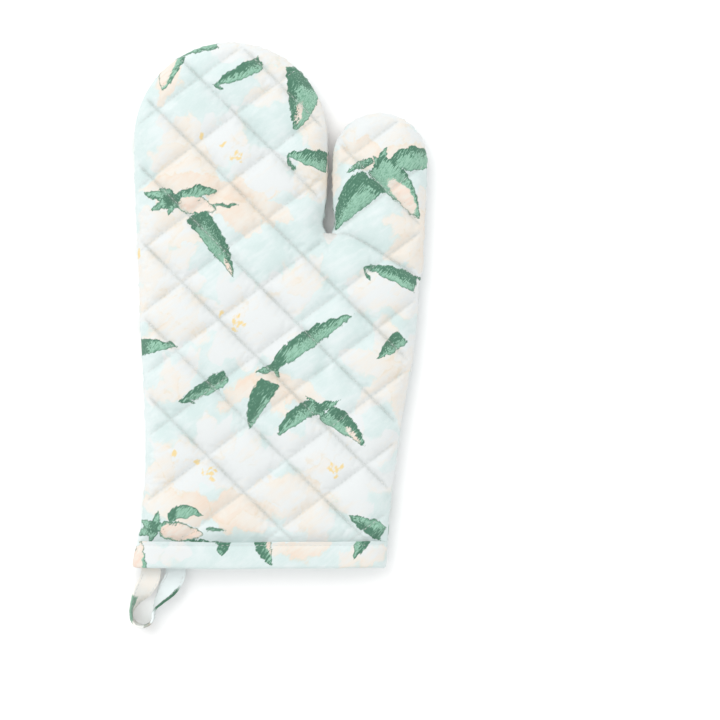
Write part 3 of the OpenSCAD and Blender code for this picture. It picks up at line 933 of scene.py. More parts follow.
    def at_cuff(self, y: np.ndarray) -> np.ndarray:
        """How far the binding's stitches pull the cloth down, at a distance from the cuff's edge."""
        return 1.5 * (1 - smoothstep(y, 17.0, 27.0)) + 0.5 * np.exp(-((y - 17.5) / 2.5) ** 2)

    def printed(self, plan: np.ndarray, gap: np.ndarray, away: np.ndarray) -> np.ndarray:
        """Where points lie on the flat cloth, with what rolls over the sides laid out flat."""
        return plan + away * np.interp(gap, *self._spill)[:, None]

    def side_x(self, y: np.ndarray, ply: float) -> tuple[np.ndarray, np.ndarray]:
        """Finds the mitt's left and right edges near the cuff.

        Args:
            y: Distances from the cuff's edge.
            ply: How deep the skin lies under the outside of the mitt.

        Returns:
            The left edges and the right edges.
        """
        left = self.hand_side[self.hand_side[:, 1] < 60]
        right = self.thumb_side[self.thumb_side[:, 1] < 60][::-1]
        press = self.side_press * ply
        return np.interp(y, left[:, 1], left[:, 0]) + press, np.interp(y, right[:, 1], right[:, 0]) - press

    def mouth_ring(self, y: float, ply: float, count: int) -> np.ndarray:
        """Goes once round the cuff: over the front from left to right, and back under it.

        Args:
            y: The distance from the cuff's edge.
            ply: How deep the skin lies under the outside of the mitt.
            count: How many places each face has.

        Returns:
            The places, 2 * count of them.
        """
        left, right = (float(v) for v in self.side_x(np.array(max(y, 0.0)), ply))
        t = (np.arange(count) + 0.5) / count
        share = 0.5 - 0.5 * np.cos(math.pi * t)
        x = left + (right - left) * share
        gap = np.minimum(x - left, right - x)
        front = np.stack([x, np.full(count, y), self.height(gap, Face.FRONT, ply)], axis=1)
        back = np.stack([x, np.full(count, y), self.height(gap, Face.BACK, ply)], axis=1)
        return np.vstack([front, back[::-1]])


@dataclass
class Plan:
    """A flat net of triangles inside the seam, with edges along the valley from the crotch."""

    points: np.ndarray
    faces: np.ndarray
    gap: np.ndarray
    away: np.ndarray
    in_thumb: np.ndarray

    @classmethod
    def lay_out(cls, shape: Shape, pitch: float, rings: Sequence[float], press: float,
                on_lines: bool) -> "Plan":
        """Scatters points inside the seam and joins them.

        Args:
            shape: The mitt's shape.
            pitch: The distance between points.
            rings: How far inside the edge each row of points along it lies.
            press: How far inside the seam the edge itself lies.
            on_lines: Whether points are laid along the quilting lines.

        Returns:
            The net.
        """
        seam = shape.seam[shape.seam[:, 1] > shape.panel_start - 0.6]
        seam = seam[::max(1, int(round(pitch / 1.8)))]
        ahead = np.gradient(seam, axis=0)
        ahead /= np.linalg.norm(ahead, axis=1)[:, None]
        inward = np.stack([ahead[:, 1], -ahead[:, 0]], axis=1)
        edge, rows = None, []
        for step in rings:
            row = seam + inward * (press + step)
            gap, _ = nearest_on(shape.seam, row)
            row = row[gap > 0.97 * (press + step) - 1e-6]
            if edge is None:
                edge = row
            else:
                rows.append(row)
        rows = np.vstack(rows)
        valley = resampled(shape.valley, pitch)
        v_gap = nearest_on(edge, valley)[0]
        valley = np.vstack([edge[nearest_index(edge, valley[0])], valley[v_gap > 0.8 * pitch],
                            edge[nearest_index(edge, valley[-1])]])
        low, high = edge.min(0), edge.max(0)
        nx, ny = int((high[0] - low[0]) / pitch) + 2, int((high[1] - low[1]) / (0.866 * pitch)) + 2
        j, i = np.meshgrid(np.arange(ny), np.arange(nx), indexing="ij")
        field = np.stack([low[0] + (i + 0.5 * (j % 2)) * pitch, shape.panel_start + j * 0.866 * pitch], 2)
        field = field.reshape(-1, 2)
        clear = press + rings[-1] + 0.7 * pitch
        field = field[inside(shape.seam, field)]
        field = field[nearest_on(shape.seam, field)[0] > clear]
        field = field[nearest_on(valley, field)[0] > 0.6 * pitch]
        rows = rows[nearest_on(valley, rows)[0] > 0.35 * pitch]
        extra = []
        if on_lines:
            for line in shape.lines:
                line = line[(nearest_on(shape.seam, line)[0] > clear)
                            & (nearest_on(valley, line)[0] > 0.6 * pitch)]
                if len(line) > 1:
                    extra.append(line)
            dots = np.vstack(extra)
            field = field[nearest_on(extra, field)[0] > 0.55 * pitch]
            field = np.vstack([field, dots])
        inner = valley[1:-1]
        points = np.vstack([edge, inner, rows, field])
        first, last = nearest_index(edge, valley[0]), nearest_index(edge, valley[-1])
        chain = [first, *range(len(edge), len(edge) + len(inner)), last]
        border = [(k, (k + 1) % len(edge)) for k in range(len(edge))]
        net = delaunay_2d_cdt([Vector(p) for p in points], border + list(zip(chain, chain[1:])), [], 0, 1e-5)
        flat = np.array([tuple(p) for p in net[0]])
        faces = np.array([f for f in net[2] if len(f) == 3])
        middle = flat[faces].mean(1)
        faces = faces[inside(edge, middle)]
        used = np.unique(faces)
        index = np.full(len(flat), -1)
        index[used] = np.arange(len(used))
        flat, faces = flat[used], index[faces]
        a, b, c = (flat[faces[:, k]] for k in range(3))
        turn = (b[:, 0] - a[:, 0]) * (c[:, 1] - a[:, 1]) - (b[:, 1] - a[:, 1]) * (c[:, 0] - a[:, 0])
        faces[turn < 0] = faces[turn < 0][:, ::-1]
        gap, away = shape.outward(flat)
        return cls(flat, faces, gap, away, inside(shape.thumb_loop, flat[faces].mean(1)))

    def part(self, which: Part) -> np.ndarray:
        """The faces of one part."""
        return self.faces[self.in_thumb if which is Part.THUMB else ~self.in_thumb]


def nearest_index(line: np.ndarray, point: np.ndarray) -> int:
    """The index of the point of a line that is nearest to a point."""
    return int(np.linalg.norm(line - point, axis=1).argmin())


def rim_edges(faces: np.ndarray) -> np.ndarray:
    """The directed edges that only one triangle has."""
    sides = np.vstack([faces[:, [0, 1]], faces[:, [1, 2]], faces[:, [2, 0]]])
    seen = {tuple(side) for side in sides.tolist()}
    return np.array([side for side in sides.tolist() if (side[1], side[0]) not in seen])


# ---------------------------------------------------------------- the plies


@dataclass(frozen=True)
class Cushioning:
    """Blows a quilted cloth up a little between its stitches, with a cloth simulation."""

    grow: float = 50.0
    pressure: float = 4.0
    slack: float = -0.045
    frames: int = 16
    cap: float = 2.6

    def run(self, mesh: bpy.types.Mesh, held: np.ndarray) -> None:
        """Puffs a mesh in place.

        Args:
            mesh: The cloth, in metres.
            held: How firmly each vertex is held, from 0 to 1.
        """
        start = positions(mesh)
        copy = mesh.copy()
        copy.vertices.foreach_set("co", (start * self.grow).astype(np.float32).reshape(-1))
        copy.update()
        obj = bpy.data.objects.new("cushioning", copy)
        bpy.context.scene.collection.objects.link(obj)
        group = obj.vertex_groups.new(name="held")
        for level in range(1, 11):
            picked = np.flatnonzero(np.round(held * 10).astype(int) == level)
            group.add(picked.tolist(), level / 10, "REPLACE")
        cloth = obj.modifiers.new("cloth", "CLOTH")
        settings = cloth.settings
        settings.vertex_group_mass = "held"
        settings.pin_stiffness = 40
        settings.quality = 5
        settings.mass = 0.3
        settings.tension_stiffness = 18
        settings.compression_stiffness = 18
        settings.shear_stiffness = 6
        settings.bending_stiffness = 0.6
        settings.use_pressure = True
        settings.uniform_pressure_force = self.pressure
        settings.shrink_min = self.slack
        settings.effector_weights.gravity = 0.0
        cloth.point_cache.frame_start = 1
        cloth.point_cache.frame_end = self.frames
        scene = bpy.context.scene
        for frame in range(1, self.frames + 1):
            scene.frame_set(frame)
        done = obj.evaluated_get(bpy.context.evaluated_depsgraph_get()).to_mesh()
        moved = positions(done) / self.grow - start
        size = np.linalg.norm(moved, axis=1)
        limit = self.cap * MM
        moved *= (np.tanh(size / limit) * limit / np.maximum(size, 1e-9))[:, None]
        mesh.vertices.foreach_set("co", (start + moved).astype(np.float32).reshape(-1))
        mesh.update()
        scene.frame_set(1)
        bpy.data.objects.remove(obj)
        log.info("cushioned %d points, up to %.2f mm", len(start), size.max() / MM)


def subdivided(obj: bpy.types.Object) -> None:
    """Applies one level of subdivision.

    Args:
        obj: The object to smooth, in place.
    """
    modifier = obj.modifiers.new("smooth", "SUBSURF")
    modifier.levels = modifier.render_levels = 1
    modifier.boundary_smooth = "PRESERVE_CORNERS"
    bpy.ops.object.select_all(action="DESELECT")
    bpy.context.view_layer.objects.active = obj
    obj.select_set(True)
    bpy.ops.object.modifier_apply(modifier=modifier.name)
    obj.select_set(False)


def follow(piece: bpy.types.Object, bench: Bench) -> None:
    """Bakes a piece's place into its mesh, after working out the fold's two ends, which are not used.

    Args:
        piece: The piece.
        bench: Where the fold is.
    """
    bench.place(0, BEND[0], 9)
    bench.place(0, BEND[1], 9)
    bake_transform(piece)


def nodes_of(part: Part, rest: str) -> list[str]:
    """Names the frame's nodes that one part of a ply replaces.

    Args:
        part: The part.
        rest: The end of the nodes' names, after palm, fingers or thumb.

    Returns:
        The names.
    """
    zones = ("thumb",) if part is Part.THUMB else ("palm", "fingers")
    return [f"{zone}_{rest}" for zone in zones]


@dataclass
class OuterPanels:
    """The printed cotton of one face, cut into hand and thumb."""

    bench: Bench
    shape: Shape
    face: Face
    plan: Plan
    print_turn: float = 1.0
    print_shift: Point = (0.0, 0.0)

    def whole(self) -> bpy.types.Object:
        """Builds the face in one piece, cushioned and smoothed.

        Returns:
            The face, with its place on the flat cloth stored at each vertex.
        """
        plan, shape = self.plan, self.shape
        lift, off = shape.quilt_share(plan.points, plan.gap)
        z = shape.height(plan.gap, self.face)
        drop = shape.at_cuff(plan.points[:, 1])
        room = 1.0 if self.face is Face.FRONT else 0.25
        inner = smoothstep(plan.gap, 0.0, 6.0)
        z = z + self.face.value * (lift - drop * inner) * room
        bulge = np.interp(plan.gap, [0, 0.12, 0.45, 1.1, 2.2, 4.0], [-0.7, 0.05, 0.45, 0.45, 0.2, 0.0])
        at = np.column_stack([plan.points + plan.away * bulge[:, None], z])
        faces = plan.faces if self.face is Face.FRONT else plan.faces[:, ::-1]
        obj = self.bench.solid(f"{self.face.name.lower()}_whole", at, [faces])
        held = np.maximum(1 - smoothstep(off, 0.6, 2.2), 1 - smoothstep(plan.gap, 1.5, 4.5))
        held = np.maximum(held, 1 - smoothstep(plan.points[:, 1], 18.0, 22.0))
        Cushioning(cap=2.6 if self.face is Face.FRONT else 1.0).run(obj.data, held)
        flat = shape.printed(plan.points, plan.gap, plan.away)
        add_values(obj, {"flat_x": flat[:, 0], "flat_y": flat[:, 1], "plan_x": plan.points[:, 0],
                         "plan_y": plan.points[:, 1]})
        subdivided(obj)
        at = positions(obj.data)
        at[:, 2] = np.maximum(at[:, 2], 0.15 * MM)
        obj.data.vertices.foreach_set("co", at.astype(np.float32).reshape(-1))
        return obj

    def build(self, finish: bpy.types.Material) -> tuple[list[bpy.types.Object], bpy.types.Mesh]:
        """Builds the two pieces.

        Args:
            finish: Their material.

        Returns:
            The pieces, and the undivided mesh that stitches are laid on.
        """
        whole = self.whole()
        mesh = whole.data
        x, y = read_values(mesh, "flat_x"), read_values(mesh, "flat_y")
        plan = np.stack([read_values(mesh, "plan_x"), read_values(mesh, "plan_y")], axis=1)
        at = np.stack([self.print_turn * x + self.print_shift[0], y + self.print_shift[1]], axis=1)
        fields = PANEL_PRINT.fields(at)
        # Painted shade along the quilting lines: darkest on the deep lines, fainter on the light ones, fading
        # out near the seam.
        deep, light = self.shape.to_lines(plan)
        near = smoothstep(nearest_on(self.shape.seam, plan)[0], 2.0, 6.0)
        fields["crease"] = np.maximum(np.exp(-(deep / 1.1) ** 2), 0.45 * np.exp(-(light / 1.0) ** 2)) * near
        quads = corner_arrays(mesh)
        in_thumb = inside(self.shape.thumb_loop, plan[quads].mean(1))
        pieces = []
        for part in Part:
            mine = quads[in_thumb if part is Part.THUMB else ~in_thumb]
            used, corners = np.unique(mine, return_inverse=True)
            where = (positions(mesh)[used] - np.array(self.bench.shift)) / MM
            name = f"{self.face.name.lower()}_{part.name.lower()}_cotton"
            piece = self.bench.solid(name, where, [corners.reshape(-1, 4)])
            add_values(piece, {key: column[used] for key, column in fields.items()})
            piece.data.materials.append(finish)
            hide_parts(*nodes_of(part, f"{self.face.name.lower()}_outer"))
            follow(piece, self.bench)
            pieces.append(piece)
            log.info("%s: %d faces", name, len(mine))
        bpy.data.objects.remove(whole)
        return pieces, mesh


@dataclass
class InnerPly:
    """A ply under the printed cotton: the wadding or the lining of one face."""

    bench: Bench
    shape: Shape
    face: Face
    plan: Plan
    word: str
    top: float
    bottom: float
    slot: str
    follow_top: float

    def skin(self, ply: float, near: float, follow_cloth: float) -> np.ndarray:
        """One skin of the ply.

        Args:
            ply: Its depth under the outside.
            near: How far from the seam's own height its edge is kept.
            follow_cloth: How closely it follows the quilted cloth, from 0 to 1.

        Returns:
            The skin's points.
        """
        gap = np.maximum(0.0, self.plan.gap - self.shape.side_press * ply) + near
        z = self.shape.height(gap, self.face, ply)
        drop = self.shape.at_cuff(self.plan.points[:, 1]) * smoothstep(gap, 0, 6)
        lift, _ = self.shape.quilt_share(self.plan.points, self.plan.gap)
        give = follow_cloth * (1.0 if self.face is Face.FRONT else 0.25)
        return np.column_stack([self.plan.points, z + self.face.value * give * (lift - drop)])

    def build(self, finish: bpy.types.Material) -> list[bpy.types.Object]:
        """Builds the ply's hand and thumb as closed slabs.

        Args:
            finish: Their material.

        Returns:
            The two pieces.
        """
        outer, inner = self.skin(self.top, 0.25, self.follow_top), self.skin(self.bottom, 0.0, 0.3)
        pieces = []
        for part in Part:
            faces = self.plan.part(part)
            rim = rim_edges(faces)
            if self.face is Face.BACK:
                faces, rim = faces[:, ::-1], rim[:, ::-1]
            count = len(outer)
            walls = np.column_stack([rim[:, 1], rim[:, 0], rim[:, 0] + count, rim[:, 1] + count])
            where = np.vstack([outer, inner])
            shells = np.vstack([faces, faces[:, ::-1] + count])
            corners = np.concatenate([shells.reshape(-1), walls.reshape(-1)])
            used, index = np.unique(corners, return_inverse=True)
            threes, fours = index[:shells.size].reshape(-1, 3), index[shells.size:].reshape(-1, 4)
            side = self.face.name.lower()
            piece = self.bench.solid(f"{side}_{part.name.lower()}_{self.word}", where[used], [threes, fours])
            piece.data.materials.append(finish)
            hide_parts(*nodes_of(part, f"{side}_{self.word}"))
            follow(piece, self.bench)
            pieces.append(piece)
        log.info("%s %s", self.face.name.lower(), self.word)
        return pieces


@dataclass
class SeamAllowance:
    """The overlocked edge of all the plies, inside the mitt along its seam."""

    bench: Bench
    shape: Shape
    start: float = 4.4
    width: float = 5.6
    thickness: float = 1.5

    def build(self, finish: bpy.types.Material) -> list[bpy.types.Object]:
        """Builds the hand's strip and the thumb's.

        Args:
            finish: Their material.

        Returns:
            The two pieces.
        """
        pieces = []
        for part, side in ((Part.HAND, self.shape.hand_side), (Part.THUMB, self.shape.thumb_side)):
            line = resampled(side[side[:, 1] > self.shape.binding_height + 1], 2.0)
            ahead = np.gradient(line, axis=0)
            ahead /= np.linalg.norm(ahead, axis=1)[:, None]
            inward = np.stack([ahead[:, 1], -ahead[:, 0]], axis=1)
            near = line + inward * self.start
            keep = nearest_on(self.shape.seam, near)[0] > 0.96 * self.start
            near, inward = near[keep], inward[keep]
            rings = []
            for u, v in ((0, -0.5), (1, -0.5), (1.06, 0), (1, 0.5), (0, 0.5), (-0.06, 0)):
                wave = 1 + 0.12 * np.sin(np.arange(len(near)) * 1.9)
                place = near + inward * (u * self.width * wave)[:, None]
                z = np.full(len(near), self.shape.seam_height + v * self.thickness)
                rings.append(np.column_stack([place, z]))
            where = np.stack(rings, axis=1).reshape(-1, 3)
            faces = tube_faces(len(near), 6, False, True)
            piece = self.bench.solid(f"{part.name.lower()}_overlock", where, [f[:, ::-1] for f in faces])
            piece.data.materials.append(finish)
            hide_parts(*nodes_of(part, "seam_overlock"))
            follow(piece, self.bench)
            pieces.append(piece)
        log.info("overlocked seam allowance")
        return pieces


# ---------------------------------------------------------------- the stitching


@dataclass
class Needle:
    """Lays stitches: one is shaped from a sphere and copied along every line."""

    bench: Bench
    long: float = 2.2
    thick: float = 0.3

    def __post_init__(self) -> None:
        """Shapes the one stitch from a sphere."""
        bpy.ops.object.select_all(action="DESELECT")
        bpy.ops.mesh.primitive_uv_sphere_add(segments=6, ring_count=4, radius=0.5)
        stitch = bpy.context.object
        bpy.ops.object.mode_set(mode="EDIT")
        bpy.ops.mesh.select_all(action="SELECT")
        bpy.ops.transform.resize(value=(self.thick, self.thick, self.long))
        bpy.ops.object.mode_set(mode="OBJECT")
        mesh = stitch.data
        self.points = positions(mesh)
        self.threes = np.array([tuple(p.vertices) for p in mesh.polygons if len(p.vertices) == 3])
        self.fours = np.array([tuple(p.vertices) for p in mesh.polygons if len(p.vertices) == 4])
        bpy.data.objects.remove(stitch)

    def sew(self, name: str, places: np.ndarray, ahead: np.ndarray, up: np.ndarray) -> bpy.types.Object:
        """Copies the stitch to many places.

        Args:
            name: The piece's name.
            places: The middle of each stitch.
            ahead: The direction of each.
            up: The cloth's own direction outwards at each.

        Returns:
            One object with all the stitches.
        """
        ahead = ahead - up * (ahead * up).sum(1)[:, None]
        ahead /= np.linalg.norm(ahead, axis=1)[:, None]
        side = np.cross(up, ahead)
        p = self.points
        at = places[:, None] + p[None, :, 0, None] * side[:, None] + p[None, :, 1, None] * up[:, None]
        at = at + p[None, :, 2, None] * ahead[:, None]
        shift = (np.arange(len(places)) * len(p))[:, None, None]
        faces = [(f[None] + shift).reshape(-1, f.shape[1]) for f in (self.threes, self.fours)]
        piece = self.bench.solid(name, at.reshape(-1, 3), faces)
        log.info("%s: %d stitches", name, len(places))
        return piece


@dataclass
class Quilting:
    """The quilting stitches of one face."""

    bench: Bench
    shape: Shape
    face: Face
    needle: Needle
    pitch: float = 3.3

    def build(self, cloth: bpy.types.Mesh, finish: bpy.types.Material) -> list[bpy.types.Object]:
        """Sews along every quilting line, on the cloth itself.

        Args:
            cloth: The face's mesh, in metres of the frame.
            finish: The thread's material.

        Returns:
            The hand's stitches and the thumb's.
        """
        from_mesh = bmesh.new()
        from_mesh.from_mesh(cloth)
        tree = BVHTree.FromBMesh(from_mesh)
        from_mesh.free()
        places, heads, ups = [], [], []
        down = Vector((0, 0, -self.face.value))
        for line in self.shape.lines:
            if len(line) < 4:
                continue
            even = resampled(line, self.pitch)
            ahead = np.gradient(even, axis=0)
            for spot, way in zip(even, ahead):
                start = self.bench.place(spot[0], spot[1], 12) - down * 0.06
                hit, normal, _, _ = tree.ray_cast(start, down)
                if hit is None or abs(normal.z) < 0.3:
                    continue
                local = (np.array(hit) - np.array(self.bench.shift)) / MM
                places.append(local + np.array(normal) * 0.05)
                heads.append((way[0], way[1], 0.0))
                ups.append(tuple(normal))
        places, heads, ups = np.array(places), np.array(heads), np.array(ups)
        in_thumb = inside(self.shape.thumb_loop, places[:, :2])
        pieces = []
        for part in Part:
            mine = in_thumb if part is Part.THUMB else ~in_thumb
            side = self.face.name.lower()
            name = f"{side}_{part.name.lower()}_quilting_stitches"
            piece = self.needle.sew(name, places[mine], heads[mine], ups[mine])
            piece.data.materials.append(finish)
            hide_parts(*nodes_of(part, f"{side}_quilting"))
            follow(piece, self.bench)
            pieces.append(piece)
        return pieces


# ---------------------------------------------------------------- the cuff and its loop


@dataclass
class Cuff:
    """The folded strip that binds the mitt's mouth, and its line of topstitching."""

    bench: Bench
    shape: Shape
    needle: Needle
    count: int = 170
    cloth: float = 0.85
    inside_ply: float = 5.35
    edge: float = 1.1
    topstitch: float = 2.2

    def _outside(self, y: float) -> float:
        """The depth of the strip's outer skin under the panel's own level; below 0 it stands above.

        Args:
            y: The distance from the cuff's edge.

        Returns:
            The depth.
        """
        high = self.shape.binding_height
        puff = 0.55 * math.sin(math.pi * min(1.0, max(0.0, y / (high - self.topstitch)))) ** 0.6
        stitched = 0.75 * math.exp(-((y - (high - self.topstitch)) / 1.3) ** 2)
        return -0.35 - puff + stitched

    def _profile(self) -> list[Point]:
        """Draws the strip's own closed outline.

        Returns:
            Its points, as depths and distances from the cuff's edge.
        """
        high = self.shape.binding_height
        skin = [(self._outside(y), y) for y in np.linspace(high, self.edge + 0.6, 22)]
        depth = self.inside_ply
        fold = [(depth / 2 - (depth / 2 + 0.35) * math.cos(a), self.edge + 0.2 - 1.25 * math.sin(a))
                for a in np.linspace(0.15, math.pi - 0.15, 11)]
        tail = [(depth + 0.45, y) for y in np.linspace(self.edge + 0.8, high, 9)]
        hem = [(depth - 0.3, high)]
        back = [(depth - 0.3, y) for y in np.linspace(high - 1.5, self.edge + 1.2, 8)]
        turn = [(depth / 2 + (depth / 2 - 0.45) * math.cos(a), self.edge + 0.9 - 0.9 * math.sin(a))
                for a in np.linspace(0.2, math.pi - 0.2, 7)]
        rise = [(self._outside(y) + self.cloth, y) for y in np.linspace(self.edge + 1.2, high, 12)]
        return skin + fold + tail + hem + back + turn + rise

    def _binding(self, finish: bpy.types.Material) -> bpy.types.Object:
        """Builds the strip as a ring.

        Args:
            finish: Its material.

        Returns:
            The piece.
        """
        profile = self._profile()
        rings = np.stack([self.shape.mouth_ring(y, ply, self.count) for ply, y in profile], axis=1)
        around = 2 * self.count
        sway = np.sin(np.arange(around) / around * 2 * math.pi * 3 + 0.7) * 0.25
        sway += np.sin(np.arange(around) / around * 2 * math.pi * 7 + 2.1) * 0.15
        rings[:, :, 1] += sway[:, None]
        faces = tube_faces(around, len(profile), True)
        piece = self.bench.solid("binding_strip", rings.reshape(-1, 3), [f[:, ::-1] for f in faces])
        low = np.array([y for _, y in profile])
        run = np.concatenate([[0], np.cumsum(np.abs(np.diff(rings[:self.count, 0, 0])))]) + rings[0, 0, 0]
        along = np.concatenate([run, 2 * run[-1] - run[::-1] + 4])
        flat = np.stack([np.repeat(along, len(profile)), np.tile(low, around)], axis=1)
        add_values(piece, BINDING_PRINT.fields(flat))
        piece.data.materials.append(finish)
        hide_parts("cuff_binding")
        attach(piece, "palm")
        return piece

    def build(self, cotton: bpy.types.Material, thread: bpy.types.Material) -> list[bpy.types.Object]:
        """Builds the binding and sews it.

        Args:
            cotton: The strip's material.
            thread: The stitches' material.

        Returns:
            The strip and its stitches.
        """
        strip = self._binding(cotton)
        y = self.shape.binding_height - self.topstitch
        ply = self._outside(y) - 0.1
        loop = self.shape.mouth_ring(y, ply, 600)
        even = resampled(np.vstack([loop, loop[:1]]), 3.1)[:-1]
        ahead = np.gradient(even, axis=0)
        lower = self.shape.mouth_ring(y, ply + 1.0, 600)
        at = np.array([np.linalg.norm(loop - p, axis=1).argmin() for p in even])
        up = loop[at] - lower[at]
        up /= np.linalg.norm(up, axis=1)[:, None]
        stitches = self.needle.sew("binding_topstitch_thread", even, ahead, up)
        stitches.data.materials.append(thread)
        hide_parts("binding_topstitch")
        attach(stitches, "palm")
        return [strip, stitches]


@dataclass
class HangingLoop:
    """A folded tape that hangs from the cuff and turns on edge where it doubles back."""

    bench: Bench
    shape: Shape
    needle: Needle
    width: float = 12.5
    thickness: float = 1.5
    left_x: float = -50.566
    right_x: float = -35.066
    root_y: float = -2.0
    tab_y: float = 13.5
    root_z: float = 7.55
    turn: tuple[float, float, float] = (-56.216, -30.3, 6.35)
    turn_r: float = 7.0

    def _strand(self, root_x: float, on_left: bool) -> tuple[np.ndarray, np.ndarray, np.ndarray]:
        """Lays one strand between the cuff and the turn.

        Args:
            root_x: Where it leaves the cuff.
            on_left: Whether it is the left one, which runs from the turn back to the cuff.

        Returns:
            Its middle, its heading, and how far it is turned on edge, both in degrees.
        """
        along = np.linspace(0.0, 1.0, 26)
        ease = 0.5 - 0.5 * np.cos(math.pi * along)
        end_x = self.turn[0] + (-self.turn_r if on_left else self.turn_r)
        x = root_x + (end_x - root_x) * ease
        y = self.root_y + (self.turn[1] - self.root_y) * along
        z = self.root_z + (self.turn[2] - self.root_z) * ease
        twist_share = np.clip((along - 0.1) / 0.9, 0, 1)
        twist = 90 * (0.5 - 0.5 * np.cos(math.pi * twist_share))
        way = -1.0 if on_left else 1.0
        head = np.degrees(np.arctan2((self.turn[1] - self.root_y) * way * np.ones_like(along),
                                     (end_x - root_x) * np.sin(math.pi * along) * math.pi / 2 * way))
        middle = np.stack([x, y, z], axis=1)
        if on_left:
            return middle[::-1], head[::-1], twist[::-1]
        return middle, head, twist

    def _tab(self, root_x: float) -> np.ndarray:
        """The tucked end of a strand, from its root into the cuff."""
        y = np.linspace(self.root_y, self.tab_y, 10)[1:]
        return np.stack([np.full(9, root_x), y, np.full(9, self.root_z)], axis=1)

    def _stations(self) -> tuple[np.ndarray, np.ndarray, np.ndarray]:
        """Lays the tape from one tucked end to the other.

        Returns:
            Its middle, its heading, and how far it is turned on edge, both in degrees.
        """
        first, last = self._strand(self.right_x, False), self._strand(self.left_x, True)
        turns = np.arange(-9, -180, -9.0)
        arc = np.stack([self.turn[0] + self.turn_r * np.cos(np.radians(turns)),
                        self.turn[1] + self.turn_r * np.sin(np.radians(turns)),
                        np.full(len(turns), self.turn[2])], axis=1)
        tab_in, tab_out = self._tab(self.right_x)[::-1], self._tab(self.left_x)
        middle = np.vstack([tab_in, first[0], arc, last[0], tab_out])
        head = np.concatenate([np.full(9, -90.0), first[1], turns - 90, last[1], np.full(9, -270.0)])
        head = np.degrees(np.unwrap(np.radians(head)))
        twist = np.concatenate([np.zeros(9), first[2], np.full(len(turns), 90.0), last[2], np.zeros(9)])
        return middle, head, twist

    def build(self, tape: bpy.types.Material, thread: bpy.types.Material) -> list[bpy.types.Object]:
        """Builds the tape, its bar tack and its two lines of edge stitches.

        Args:
            tape: The tape's material.
            thread: The stitches' material.

        Returns:
            The tape, the bar tack and the edge stitches.
        """
        middle, head, twist = self._stations()
        h, e = np.radians(head), np.radians(twist)
        flat = np.stack([-np.sin(h), np.cos(h), np.zeros(len(h))], axis=1)
        tall = np.array([0.0, 0.0, 1.0])
        across = flat * np.cos(e)[:, None] + tall * np.sin(e)[:, None]
        out = -flat * np.sin(e)[:, None] + tall * np.cos(e)[:, None]
        run = np.concatenate([[0], np.cumsum(np.linalg.norm(np.diff(middle, axis=0), axis=1))])
        rings, spread = [], []
        half = self.width / 2
        section = [(-1, 0), (-0.985, 0.75), (-0.9, 1.0), (-0.78, 0.82), (-0.5, 1.02), (0, 1.08), (0.5, 1.02),
                   (0.78, 0.82), (0.9, 1.0), (0.985, 0.75), (1, 0)]
        section += [(u, -v) for u, v in section[1:-1][::-1]]
        for u, v in section:
            wave = 0.16 * np.sin(run * 0.55 + u * 2.0) + 0.1 * np.sin(run * 1.3 + u * 5.0)
            rings.append(middle + across * (u * half) + out * (v * self.thickness / 2 + wave)[:, None])
            spread.append(np.full(len(middle), u * half))
        where = np.stack(rings, axis=1)
        where[:, :, 2] = np.maximum(where[:, :, 2], 0.1)
        count = len(section)
        piece = self.bench.solid("loop_tape", where.reshape(-1, 3),
                                 [f[:, ::-1] for f in tube_faces(len(middle), count, False, True)])
        add_values(piece, {"across": np.stack(spread, axis=1).reshape(-1), "along": np.repeat(run, count)})
        piece.data.materials.append(tape)
        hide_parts("hanging_loop", "loop_end_tabs")
        self._hang(piece)
        log.info("loop tape, %.0f mm long", run[-1])
        return [piece, self._tack(thread), self._edges(middle, across, out, run, thread)]

    def _hang(self, piece: bpy.types.Object) -> None:
        """Bakes a piece's place into its mesh, after working out the bend's two ends at the cuff, which are
        not used.
        """
        near, far = (self.bench.place(-43, y, 7) for y in TAPE_BEND)
        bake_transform(piece)

    def _edges(self, middle: np.ndarray, across: np.ndarray, out: np.ndarray, run: np.ndarray,
               thread: bpy.types.Material) -> bpy.types.Object:
        """Sews the tape's two edges, on both of its sides.

        Args:
            middle: The middle of the tape.
            across: The direction across it at each point of the middle.
            out: The direction out of its face.
            run: How far along the tape each point is.
            thread: The stitches' material.

        Returns:
            The stitches.
        """
        at = np.arange(run[-1] * 0.16, run[-1] * 0.84, 2.6)
        spots, ahead, ups = [], [], []
        for u in (-0.78, 0.78):
            for side in (1.0, -1.0):
                line = middle + across * (u * self.width / 2) + out * (side * (self.thickness * 0.41 + 0.12))
                place = np.stack([np.interp(at, run, line[:, k]) for k in range(3)], axis=1)
                up = np.stack([np.interp(at, run, out[:, k]) for k in range(3)], axis=1) * side
                spots.append(place)
                ahead.append(np.gradient(place, axis=0))
                ups.append(up / np.linalg.norm(up, axis=1)[:, None])
        piece = self.needle.sew("loop_edge_stitches", np.vstack(spots), np.vstack(ahead), np.vstack(ups))
        piece.data.materials.append(thread)
        self._hang(piece)
        return piece

    def _tack(self, thread: bpy.types.Material) -> bpy.types.Object:
        """Sews two bars across each tucked end.

        Args:
            thread: The bars' material.

        Returns:
            The bars.
        """
        spots = []
        for x in (self.left_x, self.right_x):
            for y in (self.tab_y - 6, self.tab_y - 3):
                for k in range(9):
                    spots.append((x + (k - 4) * 1.1, y, self.root_z + self.thickness / 2 + 0.15))
        places = np.array(spots)
        ahead = np.tile([0.25, 1.0, 0.0], (len(places), 1))
        piece = self.needle.sew("loop_bar_tack", places, ahead, np.tile([0.0, 0.0, 1.0], (len(places), 1)))
        piece.data.materials.append(thread)
        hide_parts("loop_bartack")
        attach(piece, "palm")
        return piece


# ---------------------------------------------------------------- the finishes


